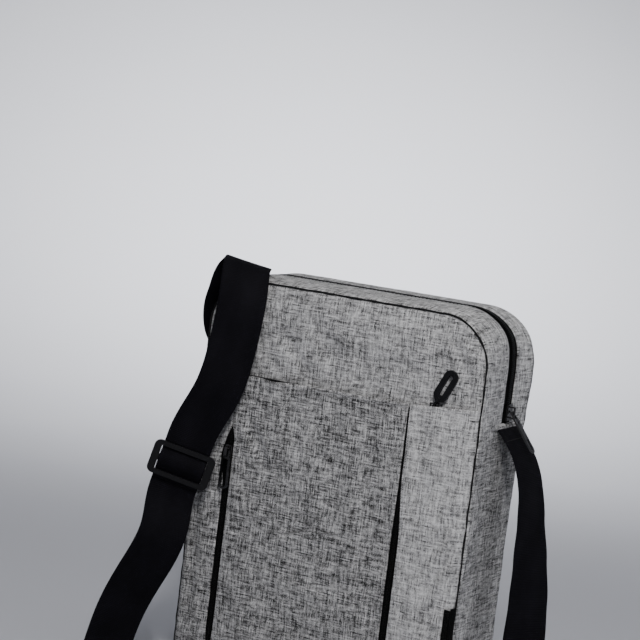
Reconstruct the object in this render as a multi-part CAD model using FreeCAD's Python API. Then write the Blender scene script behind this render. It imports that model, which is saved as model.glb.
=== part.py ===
"""Upright crossbody messenger bag in heathered polyester with a webbing shoulder strap.

Millimetres. +X is the wearer's view right of the bag, -Y its front, +Z up. The origin is the
middle of the base, on the surface that the bag stands on.
"""
import FreeCAD, Part
import math
import os

Vec = FreeCAD.Vector

# ---- Driving dimensions -------------------------------------------------------------------
bag_width = 245.0
bag_height = 325.0
bag_depth = 80.0          # from the front seam to the back seam
top_corner_radius = 40.0
base_corner_radius = 22.0

fabric = 1.2              # outer fabric with its coating and turned edge
front_foam_thickness = 4.0
back_foam_thickness = 5.0
lining = 0.6
binding = 2.5             # side of the rolled edge binding
board_thickness = 2.0     # stiffener in the base

seam_drop = 84.0          # from the top to the cross seam on the side walls, where the main zip ends
zip_centre_y = 10.0       # middle of the main zip, across the depth
zip_opening = 17.0        # width between the two folded edges beside the main zip
tape = 0.8
tape_hidden = 5.5         # tape width sewn under the fabric
teeth_width = 6.0
teeth_height = 1.8

pocket_rise = 7.0         # pocket's top edge above the cross seam
pocket_base = 12.0
pocket_space = 5.0        # depth of the front pocket
left_zip_inset = 36.0     # from the left side of the bag to the left zip
left_zip_drop = 42.0      # from the pocket's top edge to the top of the left zip
right_zip_inset = 55.5    # from the right side of the bag to the right zip
panel_zip_gap = 6.2       # gap between pocket panels that shows a vertical zip
side_zip_top = 104.0
side_zip_inset = 4.1
pocket_zip_inset = 3.5    # from the right side to the right end of the pocket's top zip
small_teeth_width = 3.6
small_teeth_height = 1.4

slider_clearance = 0.3    # between a slider and the teeth or tape that it runs over
main_slider_wall = 1.15
slider_plate = 1.4
bridge_width = 2.2
bridge_bar = 1.1
pin_height = 1.9          # pull's pin above the slider's plate
pin_radius = 0.7
fork_clearance = 0.3
fork_arm = 1.3
pull_thickness = 1.4

main_slider_length = 13.0
main_slider_rise = 11.0   # above the cross seam
main_pull_length = 35.0
main_pull_width = 7.4
main_pull_lean = 38.0     # degrees outward, where it rests on the strap
small_slider_length = 10.0
left_slider_drop = 61.0   # below the pocket's top edge
loop_pull_length = 31.0
loop_pull_width = 8.0
loop_pull_window = 4.6
right_slider_z = 50.0
side_slider_z = 40.0
side_pull_length = 22.0
side_pull_width = 6.0
pocket_slider_inset = 38.5
tab_length = 27.0
tab_width = 11.5
tab_thickness = 2.2
tab_rim = 4.2
narrow_bridge = 1.4
pocket_teeth_width = 2.4
pocket_slider_wall = 0.6
tab_lean = 25.0

strap_width = 38.0
strap_thickness = 1.6
glide_height = 28.0
glide_thickness = 2.4
glide_rail = 4.0
glide_end = 6.0
glide_bar = 5.0
glide_slack = 0.5         # gap between the webbing and the bars that it passes

inner_pocket_height = 150.0
inner_pocket_width = 180.0

half_width = bag_width / 2
half_depth = bag_depth / 2
front_y = -half_depth
back_y = half_depth
pocket_front_y = front_y - pocket_space - fabric
inner_bottom = fabric + tape + lining
seam_height = bag_height - seam_drop
pocket_top = seam_height + pocket_rise
left_zip_x = left_zip_inset - half_width
left_zip_top = pocket_top - left_zip_drop
right_zip_x = half_width - right_zip_inset
side_zip_x = half_width - side_zip_inset
pocket_zip_end = half_width - pocket_zip_inset
pocket_slider_x = half_width - pocket_slider_inset
main_slider_z = seam_height + main_slider_rise
left_slider_z = pocket_top - left_slider_drop
small_slider_wall = panel_zip_gap / 2 - 0.25 - slider_clearance - small_teeth_width / 2
glide_width = strap_width + 13

os.makedirs("parts", exist_ok=True)


def save(name, *shapes):
    """Write one node: a single solid, or several like ones as a group."""
    solids = [solid for shape in shapes for solid in shape.Solids]
    bad = [solid for solid in solids if not solid.isValid()]
    if bad or not solids:
        raise ValueError(name + " has no valid solid")
    shape = solids[0] if len(solids) == 1 else Part.makeCompound(solids)
    shape.exportStep("parts/" + name + ".step")
    print(name, len(solids), round(sum(solid.Volume for solid in solids)))


def box(x, y, z):
    """Box between pairs of limits."""
    size = [limits[1] - limits[0] for limits in (x, y, z)]
    return Part.makeBox(size[0], size[1], size[2], Vec(x[0], y[0], z[0]))


def arc(centre, radius, start, y):
    """Quarter arc in the XZ plane, from an angle in degrees, going clockwise as seen from the front."""
    points = [
        Vec(centre[0] + radius * math.cos(math.radians(a)), y, centre[1] + radius * math.sin(math.radians(a)))
        for a in (start, start - 45, start - 90)
    ]
    return Part.Arc(points[0], points[1], points[2]).toShape()


def slab(inset, y0, y1):
    """The bag's front outline, drawn in by inset, as a solid from y0 to y1."""
    side, top, base = half_width - inset, bag_height - inset, inset
    r_top = max(top_corner_radius - inset, 1.0)
    r_base = max(base_corner_radius - inset, 1.0)
    corners = [
        ((side - r_top, top - r_top), r_top, 90),
        ((side - r_base, base + r_base), r_base, 0),
        ((-side + r_base, base + r_base), r_base, -90),
        ((-side + r_top, top - r_top), r_top, 180),
    ]
    arcs = [arc(centre, radius, start, y0) for centre, radius, start in corners]
    edges = []
    for i, edge in enumerate(arcs):
        after = arcs[(i + 1) % len(arcs)]
        edges.append(edge)
        edges.append(Part.makeLine(edge.Vertexes[-1].Point, after.Vertexes[0].Point))
    face = Part.Face(Part.Wire(Part.__sortEdges__(edges)))
    return face.extrude(Vec(0, y1 - y0, 0))


def ring(outer, inner, y0, y1):
    """A band that follows the outline, between two insets."""
    return slab(outer, y0, y1).cut(slab(inner, y0 - 1, y1 + 1))


def above(shape, z):
    return shape.common(box((-bag_width, bag_width), (-bag_width, bag_width), (z, 2 * bag_height)))


def below(shape, z):
    return shape.common(box((-bag_width, bag_width), (-bag_width, bag_width), (-bag_height, z)))


def place(shape, origin, x_axis, y_axis):
    """Move a shape from its own frame to an origin, with its X and Y axes along two directions."""
    x_axis = Vec(x_axis).normalize()
    z_axis = x_axis.cross(Vec(y_axis)).normalize()
    y_axis = z_axis.cross(x_axis)
    matrix = FreeCAD.Matrix(
        x_axis.x, y_axis.x, z_axis.x, origin[0],
        x_axis.y, y_axis.y, z_axis.y, origin[1],
        x_axis.z, y_axis.z, z_axis.z, origin[2],
        0, 0, 0, 1,
    )
    moved = shape.copy()
    moved.Placement = FreeCAD.Placement(matrix)
    return moved


# ---- Main body ------------------------------------------------------------------------------
def walls():
    wall_front = front_y + fabric
    foam_back = wall_front + front_foam_thickness
    save("front_panel", slab(binding, front_y, wall_front))
    save("front_foam", slab(binding, wall_front, foam_back))
    save("front_lining", slab(binding, foam_back, foam_back + lining))
    wall_back = back_y - fabric
    foam_front = wall_back - back_foam_thickness
    save("back_panel", slab(binding, wall_back, back_y))
    save("back_foam", slab(binding, foam_front, wall_back))
    save("back_lining", slab(binding, foam_front - lining, foam_front))
    save("front_edge_binding", ring(0, binding, front_y, front_y + binding))
    save("back_edge_binding", ring(0, binding, back_y - binding, back_y))


def gussets():
    y0, y1 = front_y + binding, back_y - binding
    whole = ring(0, fabric, y0, y1)
    base_side = half_width - base_corner_radius
    middle = (-base_side, base_side)
    base = below(whole, base_corner_radius).common(box(middle, (y0, y1), (-1, base_corner_radius)))
    save("base_gusset", base)
    low = below(whole, seam_height)
    for name, limits in (("left", (-bag_width, -base_side)), ("right", (base_side, bag_width))):
        save("side_gusset_" + name, low.common(box(limits, (y0, y1), (-1, seam_height))))
    save("top_band_front", above(ring(0, fabric, y0, zip_centre_y - zip_opening / 2), seam_height))
    save("top_band_rear", above(ring(0, fabric, zip_centre_y + zip_opening / 2, y1), seam_height))
    lining_front = front_y + fabric + front_foam_thickness + lining
    lining_back = back_y - fabric - back_foam_thickness - lining
    save("gusset_lining", ring(fabric + tape, inner_bottom, lining_front, lining_back))
    board_z = inner_bottom + board_thickness
    inside = half_width - base_corner_radius
    save("base_board", box((-inside, inside), (lining_front + 1, lining_back - 1), (inner_bottom, board_z)))
    pocket_y = lining_back - 2 * lining
    half = inner_pocket_width / 2
    floor = board_z + 10
    height = (floor, floor + inner_pocket_height)
    save("inner_slip_pocket", box((-half, half), (pocket_y, pocket_y + lining), height))


def main_zip():
    reach = zip_opening / 2 + tape_hidden
    for name, y0, y1 in (
        ("front", zip_centre_y - reach, zip_centre_y),
        ("rear", zip_centre_y, zip_centre_y + reach),
    ):
        save("main_zip_tape_" + name, above(ring(fabric, fabric + tape, y0, y1), seam_height))
    half = teeth_width / 2
    for name, y0, y1 in (
        ("front", zip_centre_y - half, zip_centre_y),
        ("rear", zip_centre_y, zip_centre_y + half),
    ):
        band = ring(fabric - teeth_height, fabric, y0, y1)
        save("main_zip_teeth_" + name, above(band, seam_height + 2))
    stops = []
    for side in (-1, 1):
        x0 = side * (half_width - fabric)
        limits = sorted((x0, x0 + side * teeth_height))
        width = (zip_centre_y - half, zip_centre_y + half)
        stops.append(box(limits, width, (seam_height, seam_height + 1.9)))
    save("main_zip_stops", *stops)


# ---- Front pocket ---------------------------------------------------------------------------
def front_pocket():
    inner_y = front_y - pocket_space
    side = half_width - binding
    half_gap = panel_zip_gap / 2
    left_edge, right_edge = left_zip_x - half_gap, right_zip_x - half_gap
    spans = (
        ("pocket_left_panel", -side, left_edge),
        ("pocket_centre_panel", left_zip_x + half_gap, right_edge),
        ("pocket_right_panel", right_zip_x + half_gap, side),
    )
    for name, x0, x1 in spans:
        whole = slab(binding, pocket_front_y, inner_y)
        save(name, whole.common(box((x0, x1), (pocket_front_y, inner_y), (pocket_base, pocket_top))))
    wall = below(above(slab(binding, inner_y, front_y), pocket_base), pocket_top)
    hollow = above(slab(binding + fabric, inner_y - 1, front_y + 1), pocket_base + fabric)
    save("pocket_side_wall", wall.cut(hollow))


def zip_strip(name, x, z0, z1, y, half_tape):
    """A vertical zip that faces the front: its tape behind the plane y, and its teeth in front."""
    save(name + "_tape", box((x - half_tape, x + half_tape), (y, y + tape), (z0, z1)))
    half = small_teeth_width / 2
    save(name + "_teeth", box((x - half, x + half), (y - small_teeth_height, y), (z0 + 1, z1 - 1)))


def pocket_zips():
    inner_y = front_y - pocket_space
    half_tape = panel_zip_gap / 2 + tape_hidden
    zip_strip("left_zip", left_zip_x, pocket_base + 3, left_zip_top, inner_y, half_tape)
    zip_strip("right_zip", right_zip_x, pocket_base + 3, pocket_top - 3, inner_y, half_tape)
    side_limits = (side_zip_x - 2.8, side_zip_x + 2.8)
    side_y = pocket_front_y
    side_z = (pocket_base + 4, side_zip_top)
    save("side_zip_tape", box(side_limits, (side_y - tape, side_y), side_z))
    half = small_teeth_width / 2
    teeth_x = (side_zip_x - half, side_zip_x + half)
    teeth_y = (side_y - tape - small_teeth_height, side_y - tape)
    save("side_zip_teeth", box(teeth_x, teeth_y, (side_z[0] + 1, side_z[1] - 1)))
    start = left_zip_x + panel_zip_gap
    middle = front_y - pocket_space / 2
    z = pocket_top
    whole = (start, pocket_zip_end)
    save("pocket_zip_tape_front", box(whole, (front_y - pocket_space, middle), (z, z + tape)))
    save("pocket_zip_tape_rear", box(whole, (middle, front_y), (z, z + tape)))
    teeth = (middle - pocket_teeth_width / 2, middle + pocket_teeth_width / 2)
    height = (z + tape, z + tape + small_teeth_height)
    save("pocket_zip_teeth", box((start + 1, pocket_zip_end - 1), teeth, height))


# ---- Sliders and pulls ----------------------------------------------------------------------
def bridge_size(length):
    """Half length of a slider's bridge, and the height of its top above the slider's plate."""
    return length * 0.36, pin_height + pin_radius + 0.5 + bridge_bar


def slider(length, channel_width, channel_height, wall, bridge_width):
    """Slider in its own frame: X across the zip, Y along it, Z outward from the face of the tape."""
    inner = channel_width / 2 + slider_clearance
    outer = inner + wall
    roof = channel_height + slider_clearance
    top = roof + slider_plate
    body = box((-outer, outer), (-length / 2, length / 2), (slider_clearance, top))
    nose = Part.makeCylinder(length, 2 * top, Vec(0, -length / 2, -top / 2))
    body = body.common(nose)
    body = body.cut(box((-inner, inner), (-length, length), (-1, roof)))
    half, rise = bridge_size(length)
    post = bridge_width / 2
    bridge = box((-post, post), (-half, half), (top, top + rise))
    under = (-half + bridge_bar, half - bridge_bar)
    bridge = bridge.cut(box((-bridge_width, bridge_width), under, (top, top + rise - bridge_bar)))
    return body.fuse(bridge).removeSplitter(), top + pin_height


def fork(slider_length, bridge_width, arm):
    """The forked end of a pull: a pin under the bridge, and an arm at each side of it."""
    arm_in = bridge_width / 2 + fork_clearance
    arm_out = arm_in + arm
    width = 2 * arm_out
    pin = Part.makeCylinder(pin_radius, width, Vec(-arm_out, 0, 0), Vec(1, 0, 0))
    half, rise = bridge_size(slider_length)
    reach = math.hypot(half, rise - pin_height) + fork_clearance + 0.1
    arms = [
        box((arm_in, arm_out), (-reach, 0), (-pin_radius, pin_radius)),
        box((-arm_out, -arm_in), (-reach, 0), (-pin_radius, pin_radius)),
    ]
    eye = Part.makeCylinder(pin_radius + 0.35, width, Vec(-arm_out, 0, 0), Vec(1, 0, 0))
    eye = eye.cut(box((-arm_in, arm_in), (-5, 5), (-5, 5)))
    return pin.fuse([eye] + arms), reach


def plate_pull(slider_length, length, width, window, hole):
    """Pull in its own frame: the pin on X, the tongue along -Y, its face along Z."""
    end, reach = fork(slider_length, bridge_width, fork_arm)
    half = width / 2
    tongue = box((-half, half), (-length + half, -reach), (-pull_thickness / 2, pull_thickness / 2))
    tip = Part.makeCylinder(half, pull_thickness, Vec(0, -length + half, -pull_thickness / 2))
    tongue = tongue.fuse(tip)
    if window:
        rail = (width - window) / 2
        cut = box((-window / 2, window / 2), (-length + half, -reach - rail), (-5, 5))
        tongue = tongue.cut(cut.fuse(Part.makeCylinder(window / 2, 10, Vec(0, -length + half, -5))))
    if hole:
        tongue = tongue.cut(box((-hole / 2, hole / 2), (-reach - 4.4, -reach - 2.2), (-5, 5)))
        slot = box((-hole / 2, hole / 2), (-length + half - 1, -length + half + 8), (-5, 5))
        tongue = tongue.cut(slot)
    return tongue.fuse(end).removeSplitter()


def loop_tab():
    """Moulded loop in its own frame: the pin on Z, the loop along +Y, its face along Z."""
    arm = 0.8
    end, reach = fork(small_slider_length, narrow_bridge, arm)
    end = end.copy()
    end.rotate(Vec(0, 0, 0), Vec(0, 0, 1), 180)
    end.rotate(Vec(0, 0, 0), Vec(0, 1, 0), 90)
    thick = narrow_bridge / 2 + fork_clearance + arm
    half, inner = tab_width / 2, tab_width / 2 - tab_rim
    low, high = reach + half, reach + tab_length - half
    face = (-tab_thickness / 2, tab_thickness / 2)
    tab = box((-half, half), (low, high), face)
    hole = box((-inner, inner), (low + 1, high), (-5, 5))
    for y, centre in ((low, low + 1), (high, high)):
        tab = tab.fuse(Part.makeCylinder(half, tab_thickness, Vec(0, y, face[0])))
        hole = hole.fuse(Part.makeCylinder(inner, 10, Vec(0, centre, -5)))
    neck = box((-1.6, 1.6), (reach - 0.2, reach + tab_rim - 0.6), (-thick, thick))
    return tab.fuse(neck).cut(hole).fuse(end).removeSplitter()


def hardware():
    body, pin = slider(main_slider_length, teeth_width, teeth_height, main_slider_wall, bridge_width)
    face_x = half_width - fabric
    save("main_slider", place(body, (face_x, zip_centre_y, main_slider_z), (0, 1, 0), (0, 0, 1)))
    pull = plate_pull(main_slider_length, main_pull_length, main_pull_width, 0, 2.6)
    lean = math.radians(main_pull_lean)
    up = (-math.sin(lean), 0, math.cos(lean))
    save("main_pull", place(pull, (face_x + pin, zip_centre_y, main_slider_z), (0, 1, 0), up))

    small_zip = (small_slider_length, small_teeth_width, small_teeth_height, small_slider_wall)
    small, pin = slider(*small_zip, bridge_width)
    loop = plate_pull(small_slider_length, loop_pull_length, loop_pull_width, loop_pull_window, 0)
    face_y = front_y - pocket_space
    side_face = pocket_front_y - tape
    short = plate_pull(small_slider_length, side_pull_length, side_pull_width, 0, 2.2)
    for name, x, y, z, tongue in (
        ("left", left_zip_x, face_y, left_slider_z, loop),
        ("right", right_zip_x, face_y, right_slider_z, loop),
        ("side", side_zip_x, side_face, side_slider_z, short),
    ):
        save(name + "_slider", place(small, (x, y, z), (1, 0, 0), (0, 0, 1)))
        save(name + "_pull", place(tongue, (x, y - pin, z), (1, 0, 0), (0, 0, 1)))

    # The pocket's top zip lies level, so its slider faces up and carries a moulded loop.
    middle = front_y - pocket_space / 2
    base = pocket_top + tape
    narrow = (small_slider_length, pocket_teeth_width, small_teeth_height, pocket_slider_wall)
    level, pin = slider(*narrow, narrow_bridge)
    save("pocket_slider", place(level, (pocket_slider_x, middle, base), (0, 1, 0), (-1, 0, 0)))
    lean = math.radians(tab_lean)
    along = (math.sin(lean), 0, math.cos(lean))
    across = (math.cos(lean), 0, -math.sin(lean))
    save("pocket_pull", place(loop_tab(), (pocket_slider_x, middle, base + pin), across, along))


# ---- Shoulder strap -------------------------------------------------------------------------
# Each stop of the route is a point on the strap's middle line and the direction of its width.
# The routes fit a bag of this half width, half depth and seam height, and move with its sides.
route_half_width, route_half_depth, route_seam_height = 122.5, 40.0, 241.0
short_route = (
    ((-123.6, 10, 236), (0, 1, 0)),
    ((-128, 9.5, 252), (0.1, 1, 0)),
    ((-138, 5, 280), (0.3, 0.95, -0.05)),
    ((-131, -2, 308), (0.45, 0.88, -0.1)),
    ((-113.5, -14, 329), (0.8, 0.58, -0.18)),
    ((-98, -29.5, 337), (0.86, 0.47, -0.2)),
    ((-90.5, -45, 335.5), (0.86, 0.47, -0.2)),
    ((-84.5, -56, 318.5), (0.86, 0.47, -0.2)),
    ((-85.5, -60, 280), (0.87, 0.47, -0.18)),
    ((-94, -63.5, 234), (0.87, 0.46, -0.2)),
)
long_route = (
    ((-121, -75, 122), (0.87, 0.45, -0.24)),
    ((-136, -79, 80), (0.88, 0.44, -0.2)),
    ((-152, -83, 38), (0.88, 0.46, -0.1)),
    ((-154, -93, 9), (0.88, 0.47, 0)),
    ((-147, -112, 2.0), (0.88, 0.47, 0)),
    ((-133, -142, 15.2), (0.7, 0.4, 0.6)),
    ((-108, -170, 20.2), (0.1, 0.1, 1)),
    ((-60, -192, 20.2), (0, 0, 1)),
    ((10, -200, 20.2), (0, 0, 1)),
    ((75, -188, 20.2), (0, 0, 1)),
    ((125, -158, 20.2), (-0.1, 0.1, 1)),
    ((152, -112, 15.2), (-0.8, -0.1, 0.6)),
    ((163, -66, 3.2), (-1, -0.05, 0)),
    ((167, -34, 4.2), (-1, -0.1, 0)),
    ((168, -12, 14), (-0.97, -0.25, 0)),
    ((166, -2, 42), (-0.85, -0.5, 0)),
    ((163, 4, 80), (-0.6, -0.8, 0)),
    ((161, 7, 111), (-0.5, -0.86, 0)),
    ((157.5, 9, 142), (-0.36, -0.93, 0)),
    ((153.5, 10, 173), (-0.2, -0.98, 0)),
    ((149, 10, 200), (-0.12, -1, 0)),
    ((137, 10, 226), (-0.06, -1, 0)),
    ((124, 10, 240), (0, -1, 0)),
)
glide_centre = Vec(-115.8, -69, 172)
glide_across = Vec(0.87, 0.44, -0.24)
glide_down = Vec(-0.3, -0.1, -0.95)


def fitted(point):
    """A point of the strap, moved with the side, the front and the cross seam of the bag."""
    x, y, z = point
    x += (half_width - route_half_width) * max(-1, min(1, x / 100))
    y += (half_depth - route_half_depth) * max(-1, min(0, y / 40))
    z += (seam_height - route_seam_height) * min(1, z / 236)
    return x, y, z


def spline(points):
    curve = Part.BSplineCurve()
    curve.interpolate([Vec(*point) for point in points])
    return curve


def ribbon(route, longest_step=9.0):
    """Solid of webbing along a route, turning with the directions given for its width."""
    middle = spline([point for point, _ in route])
    knots = [middle.parameter(Vec(*point)) for point, _ in route]
    sections = []
    for i in range(len(route) - 1):
        apart = (Vec(*route[i + 1][0]) - Vec(*route[i][0])).Length
        steps = max(2, math.ceil(apart / longest_step))
        last = i == len(route) - 2
        for k in range(steps + last):
            share = k / steps
            at = knots[i] + share * (knots[i + 1] - knots[i])
            centre = middle.value(at)
            along = middle.tangent(at)[0]
            turn = share * share * (3 - 2 * share)
            across = Vec(*route[i][1]).normalize() * (1 - turn) + Vec(*route[i + 1][1]).normalize() * turn
            across = (across - along * across.dot(along)).normalize()
            face = along.cross(across).normalize()
            w, t = across * (strap_width / 2), face * (strap_thickness / 2)
            sections.append([centre - w - t, centre + w - t, centre + w + t, centre - w + t])
    print("ribbon length", round(middle.length()), "sections", len(sections))
    faces = []
    for near, far in zip(sections, sections[1:]):
        for a, b in ((0, 1), (1, 2), (2, 3), (3, 0)):
            edges = Part.makeLine(near[a], near[b]), Part.makeLine(far[a], far[b])
            faces.append(Part.makeRuledSurface(*edges))
    for end in (sections[0], sections[-1]):
        faces.append(Part.Face(Part.makePolygon(end + end[:1])))
    shell = Part.makeShell(faces)
    shell.sewShape()
    solid = Part.makeSolid(shell)
    if solid.Volume < 0:
        solid.reverse()
    return solid


def strap():
    across = Vec(glide_across).normalize()
    out = Vec(glide_down).normalize().cross(across).normalize()
    if out.y > 0:
        out = out * -1
    down = across.cross(out).normalize()
    if down.z > 0:
        down = down * -1

    middle = Vec(*fitted(glide_centre))

    def at(v, n):
        return middle + down * v + out * n

    # The short strap passes behind the top rail, over the middle bar and behind the bottom rail.
    layer = glide_thickness / 2 + strap_thickness / 2 + glide_slack
    rail_edge = glide_height / 2 - glide_rail
    slot = (rail_edge + glide_bar / 2) / 2
    weave = [(-25, -layer), (-14, -layer), (-rail_edge - 0.2, -layer + 0.2), (-slot, 0)]
    weave += [(-glide_bar / 2 + 0.2, layer - 0.2), (0, layer), (glide_bar / 2 - 0.2, layer - 0.2)]
    weave += [(slot, 0), (rail_edge + 0.2, -layer + 0.2), (14, -layer), (17, -layer)]
    through = tuple((tuple(at(v, n)), tuple(across)) for v, n in weave)
    upper = tuple((fitted(point), width) for point, width in short_route)
    save("strap_short", ribbon(upper + through))
    behind = layer + strap_thickness + glide_slack
    start = tuple((tuple(at(v, -behind)), tuple(across)) for v in (2, 13, 24))
    lower = tuple((fitted(point), width) for point, width in long_route)
    save("strap_long", ribbon(start + lower))
    half_w, half_h, half_t = glide_width / 2, glide_height / 2, glide_thickness / 2
    frame = box((-half_w, half_w), (-half_h, half_h), (-half_t, half_t))
    upright = [e for e in frame.Edges if abs(e.tangentAt(e.FirstParameter).z) > 0.9]
    frame = frame.makeFillet(5.0, upright)
    slot_x = half_w - glide_end
    for sign in (-1, 1):
        slot_y = sorted((sign * glide_bar / 2, sign * (half_h - glide_rail)))
        frame = frame.cut(box((-slot_x, slot_x), slot_y, (-5, 5)))
    save("tri_glide", place(frame, middle, across, down * -1))


walls()
gussets()
main_zip()
front_pocket()
pocket_zips()
hardware()
strap()
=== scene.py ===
"""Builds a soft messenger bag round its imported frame: fabric, zips, hardware, strap and stage."""

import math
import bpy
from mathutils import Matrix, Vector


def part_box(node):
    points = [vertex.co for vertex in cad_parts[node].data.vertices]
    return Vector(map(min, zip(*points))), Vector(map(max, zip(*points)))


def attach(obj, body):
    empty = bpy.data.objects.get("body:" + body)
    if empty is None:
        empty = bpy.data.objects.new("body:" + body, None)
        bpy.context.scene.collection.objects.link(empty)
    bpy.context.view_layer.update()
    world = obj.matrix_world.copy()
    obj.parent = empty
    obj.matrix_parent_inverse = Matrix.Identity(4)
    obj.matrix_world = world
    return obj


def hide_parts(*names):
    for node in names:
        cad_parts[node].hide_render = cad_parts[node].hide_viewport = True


bl_info = {
    "name": "Messenger Bag",
    "version": (1, 0, 0),
    "blender": (4, 5, 0),
    "location": "View3D > Sidebar > Bag",
    "description": "Makes the fabric, zips, hardware and strap of a messenger bag",
    "category": "Add Mesh",
}

import bmesh
import bpy
import numpy as np
from bpy.props import FloatProperty, FloatVectorProperty, PointerProperty
from mathutils import Matrix, Vector

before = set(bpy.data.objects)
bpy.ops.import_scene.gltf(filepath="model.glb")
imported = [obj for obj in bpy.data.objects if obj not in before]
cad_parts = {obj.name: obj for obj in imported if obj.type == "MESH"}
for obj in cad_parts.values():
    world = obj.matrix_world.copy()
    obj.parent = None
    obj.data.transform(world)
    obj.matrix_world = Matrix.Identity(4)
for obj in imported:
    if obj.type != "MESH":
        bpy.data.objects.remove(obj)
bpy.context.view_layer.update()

mm = 0.001
fabric_thickness, tape_thickness = 0.0008, 0.0005


def middle(name, axis):
    """The middle of that node's box along one axis."""
    return sum(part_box(name)[i][axis] for i in (0, 1)) / 2


half_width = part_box("side_gusset_right")[1][0]
bag_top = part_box("top_band_front")[1][2]
front_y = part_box("front_edge_binding")[0][1]
back_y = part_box("back_edge_binding")[1][1]
seam_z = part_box("side_gusset_right")[1][2]
pocket_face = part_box("pocket_centre_panel")[0][1]
pocket_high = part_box("pocket_centre_panel")[1][2]
zip_y = middle("main_slider", 1)
band_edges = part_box("top_band_front")[1][1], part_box("top_band_rear")[0][1]


# ---- Sizes and colours ------------------------------------------------------------------------
def length(name, description, default):
    return FloatProperty(
        name=name, description=description, default=default, min=0, unit="LENGTH", precision=5
    )


def colour(name, description, default):
    return FloatVectorProperty(
        name=name, description=description, default=default, size=3, min=0, max=1, subtype="COLOR"
    )


class BagSizes(bpy.types.PropertyGroup):
    """Sizes of the soft parts that the frame leaves open."""

    top_radius: length("Top corners", "Radius of the two top corners", 0.040)
    base_radius: length("Base corners", "Radius of the two base corners", 0.022)
    top_crown: length("Top crown", "How far the top stands up along its zip", 0.0036)
    back_crown: length("Back crown", "How far the back panel stands out", 0.0058)
    groove: length("Seam groove", "Depth of the groove along the edge seams", 0.0022)
    fold: length("Fabric ripple", "Height of the soft ripples in the fabric", 0.0009)
    coil_pitch: length("Main zip pitch", "Distance between the coils of the main zip", 0.0015)
    small_pitch: length("Small zip pitch", "Distance between the coils of the small zips", 0.00125)
    stitch: length("Stitch", "Length of one visible stitch", 0.0024)
    stitch_gap: length("Stitch gap", "Gap between two stitches", 0.0009)
    thread: length("Thread", "Thickness of the sewing thread", 0.0005)
    webbing: length("Webbing width", "Width of the strap webbing", 0.038)
    webbing_thickness: length("Webbing thickness", "Thickness of the strap webbing", 0.0016)


class BagColours(bpy.types.PropertyGroup):
    """Colours of the finishes."""

    yarn_light: colour("Light yarn", "Light yarn of the heather fabric", (0.86, 0.853, 0.853))
    yarn_dark: colour("Dark yarn", "Dark yarn of the heather fabric", (0.022, 0.0215, 0.022))
    webbing: colour("Webbing", "Shoulder strap", (0.0028, 0.0025, 0.0042))
    tape: colour("Zip tape", "Zip tape and coil", (0.0012, 0.0012, 0.0014))
    lining: colour("Lining", "Inside lining", (0.02, 0.02, 0.022))
    metal: colour("Slider metal", "Zip sliders", (0.045, 0.043, 0.044))
    steel: colour("Pull steel", "Pull of the main zip", (0.085, 0.083, 0.084))
    black_metal: colour("Black metal", "Pulls of the small zips", (0.02, 0.0195, 0.021))
    plastic: colour("Plastic", "Strap adjuster and loop pull", (0.003, 0.0029, 0.0038))
    thread: colour("Thread", "Sewing thread", (0.34, 0.34, 0.35))
    floor: colour("Stage", "Floor and backdrop", (0.66, 0.67, 0.715))


class BagCamera(bpy.types.PropertyGroup):
    """Where the camera stands and looks."""

    yaw: FloatProperty(name="Yaw", description="Turn round the bag", default=math.radians(27.80),
                       subtype="ANGLE")
    pitch: FloatProperty(name="Pitch", description="Look down", default=math.radians(6.16),
                         subtype="ANGLE")
    roll: FloatProperty(name="Roll", description="Tilt of the camera", default=math.radians(6.92),
                        subtype="ANGLE")
    distance: FloatProperty(name="Distance", description="From the target", default=1.4313,
                            unit="LENGTH")
    target: FloatVectorProperty(name="Target", description="Point that the camera looks at",
                                default=(-0.0436, 0.0, 0.2977), size=3, subtype="TRANSLATION")
    lens: FloatProperty(name="Lens", description="Focal length in millimetres", default=100)


def sizes():
    return bpy.context.scene.bag_sizes


def colours():
    return bpy.context.scene.bag_colours


# ---- Shader writing ---------------------------------------------------------------------------
class Value:
    """A number in a material, so that shader maths can be written as Python."""

    def __init__(self, look, socket):
        self.look, self.socket = look, socket

    def maths(self, operation, *operands):
        node = self.look.node("Math", {"operation": operation}, dict(enumerate(operands)))
        return Value(self.look, node.outputs[0])

    def __add__(self, other):
        return self.maths("ADD", self, other)

    def __sub__(self, other):
        return self.maths("SUBTRACT", self, other)

    def __rsub__(self, other):
        return self.maths("SUBTRACT", other, self)

    def __mul__(self, other):
        return self.maths("MULTIPLY", self, other)

    def __truediv__(self, other):
        return self.maths("DIVIDE", self, other)

    __radd__ = __add__
    __rmul__ = __mul__

    def sine(self):
        return self.maths("SINE", self)

    def absolute(self):
        return self.maths("ABSOLUTE", self)

    def between(self, low, high):
        """0 below low, 1 above high, and smooth from one to the other."""
        node = self.look.node(
            "MapRange",
            {"interpolation_type": "SMOOTHSTEP"},
            {"Value": self, "From Min": low, "From Max": high},
        )
        return Value(self.look, node.outputs[0])


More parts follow.
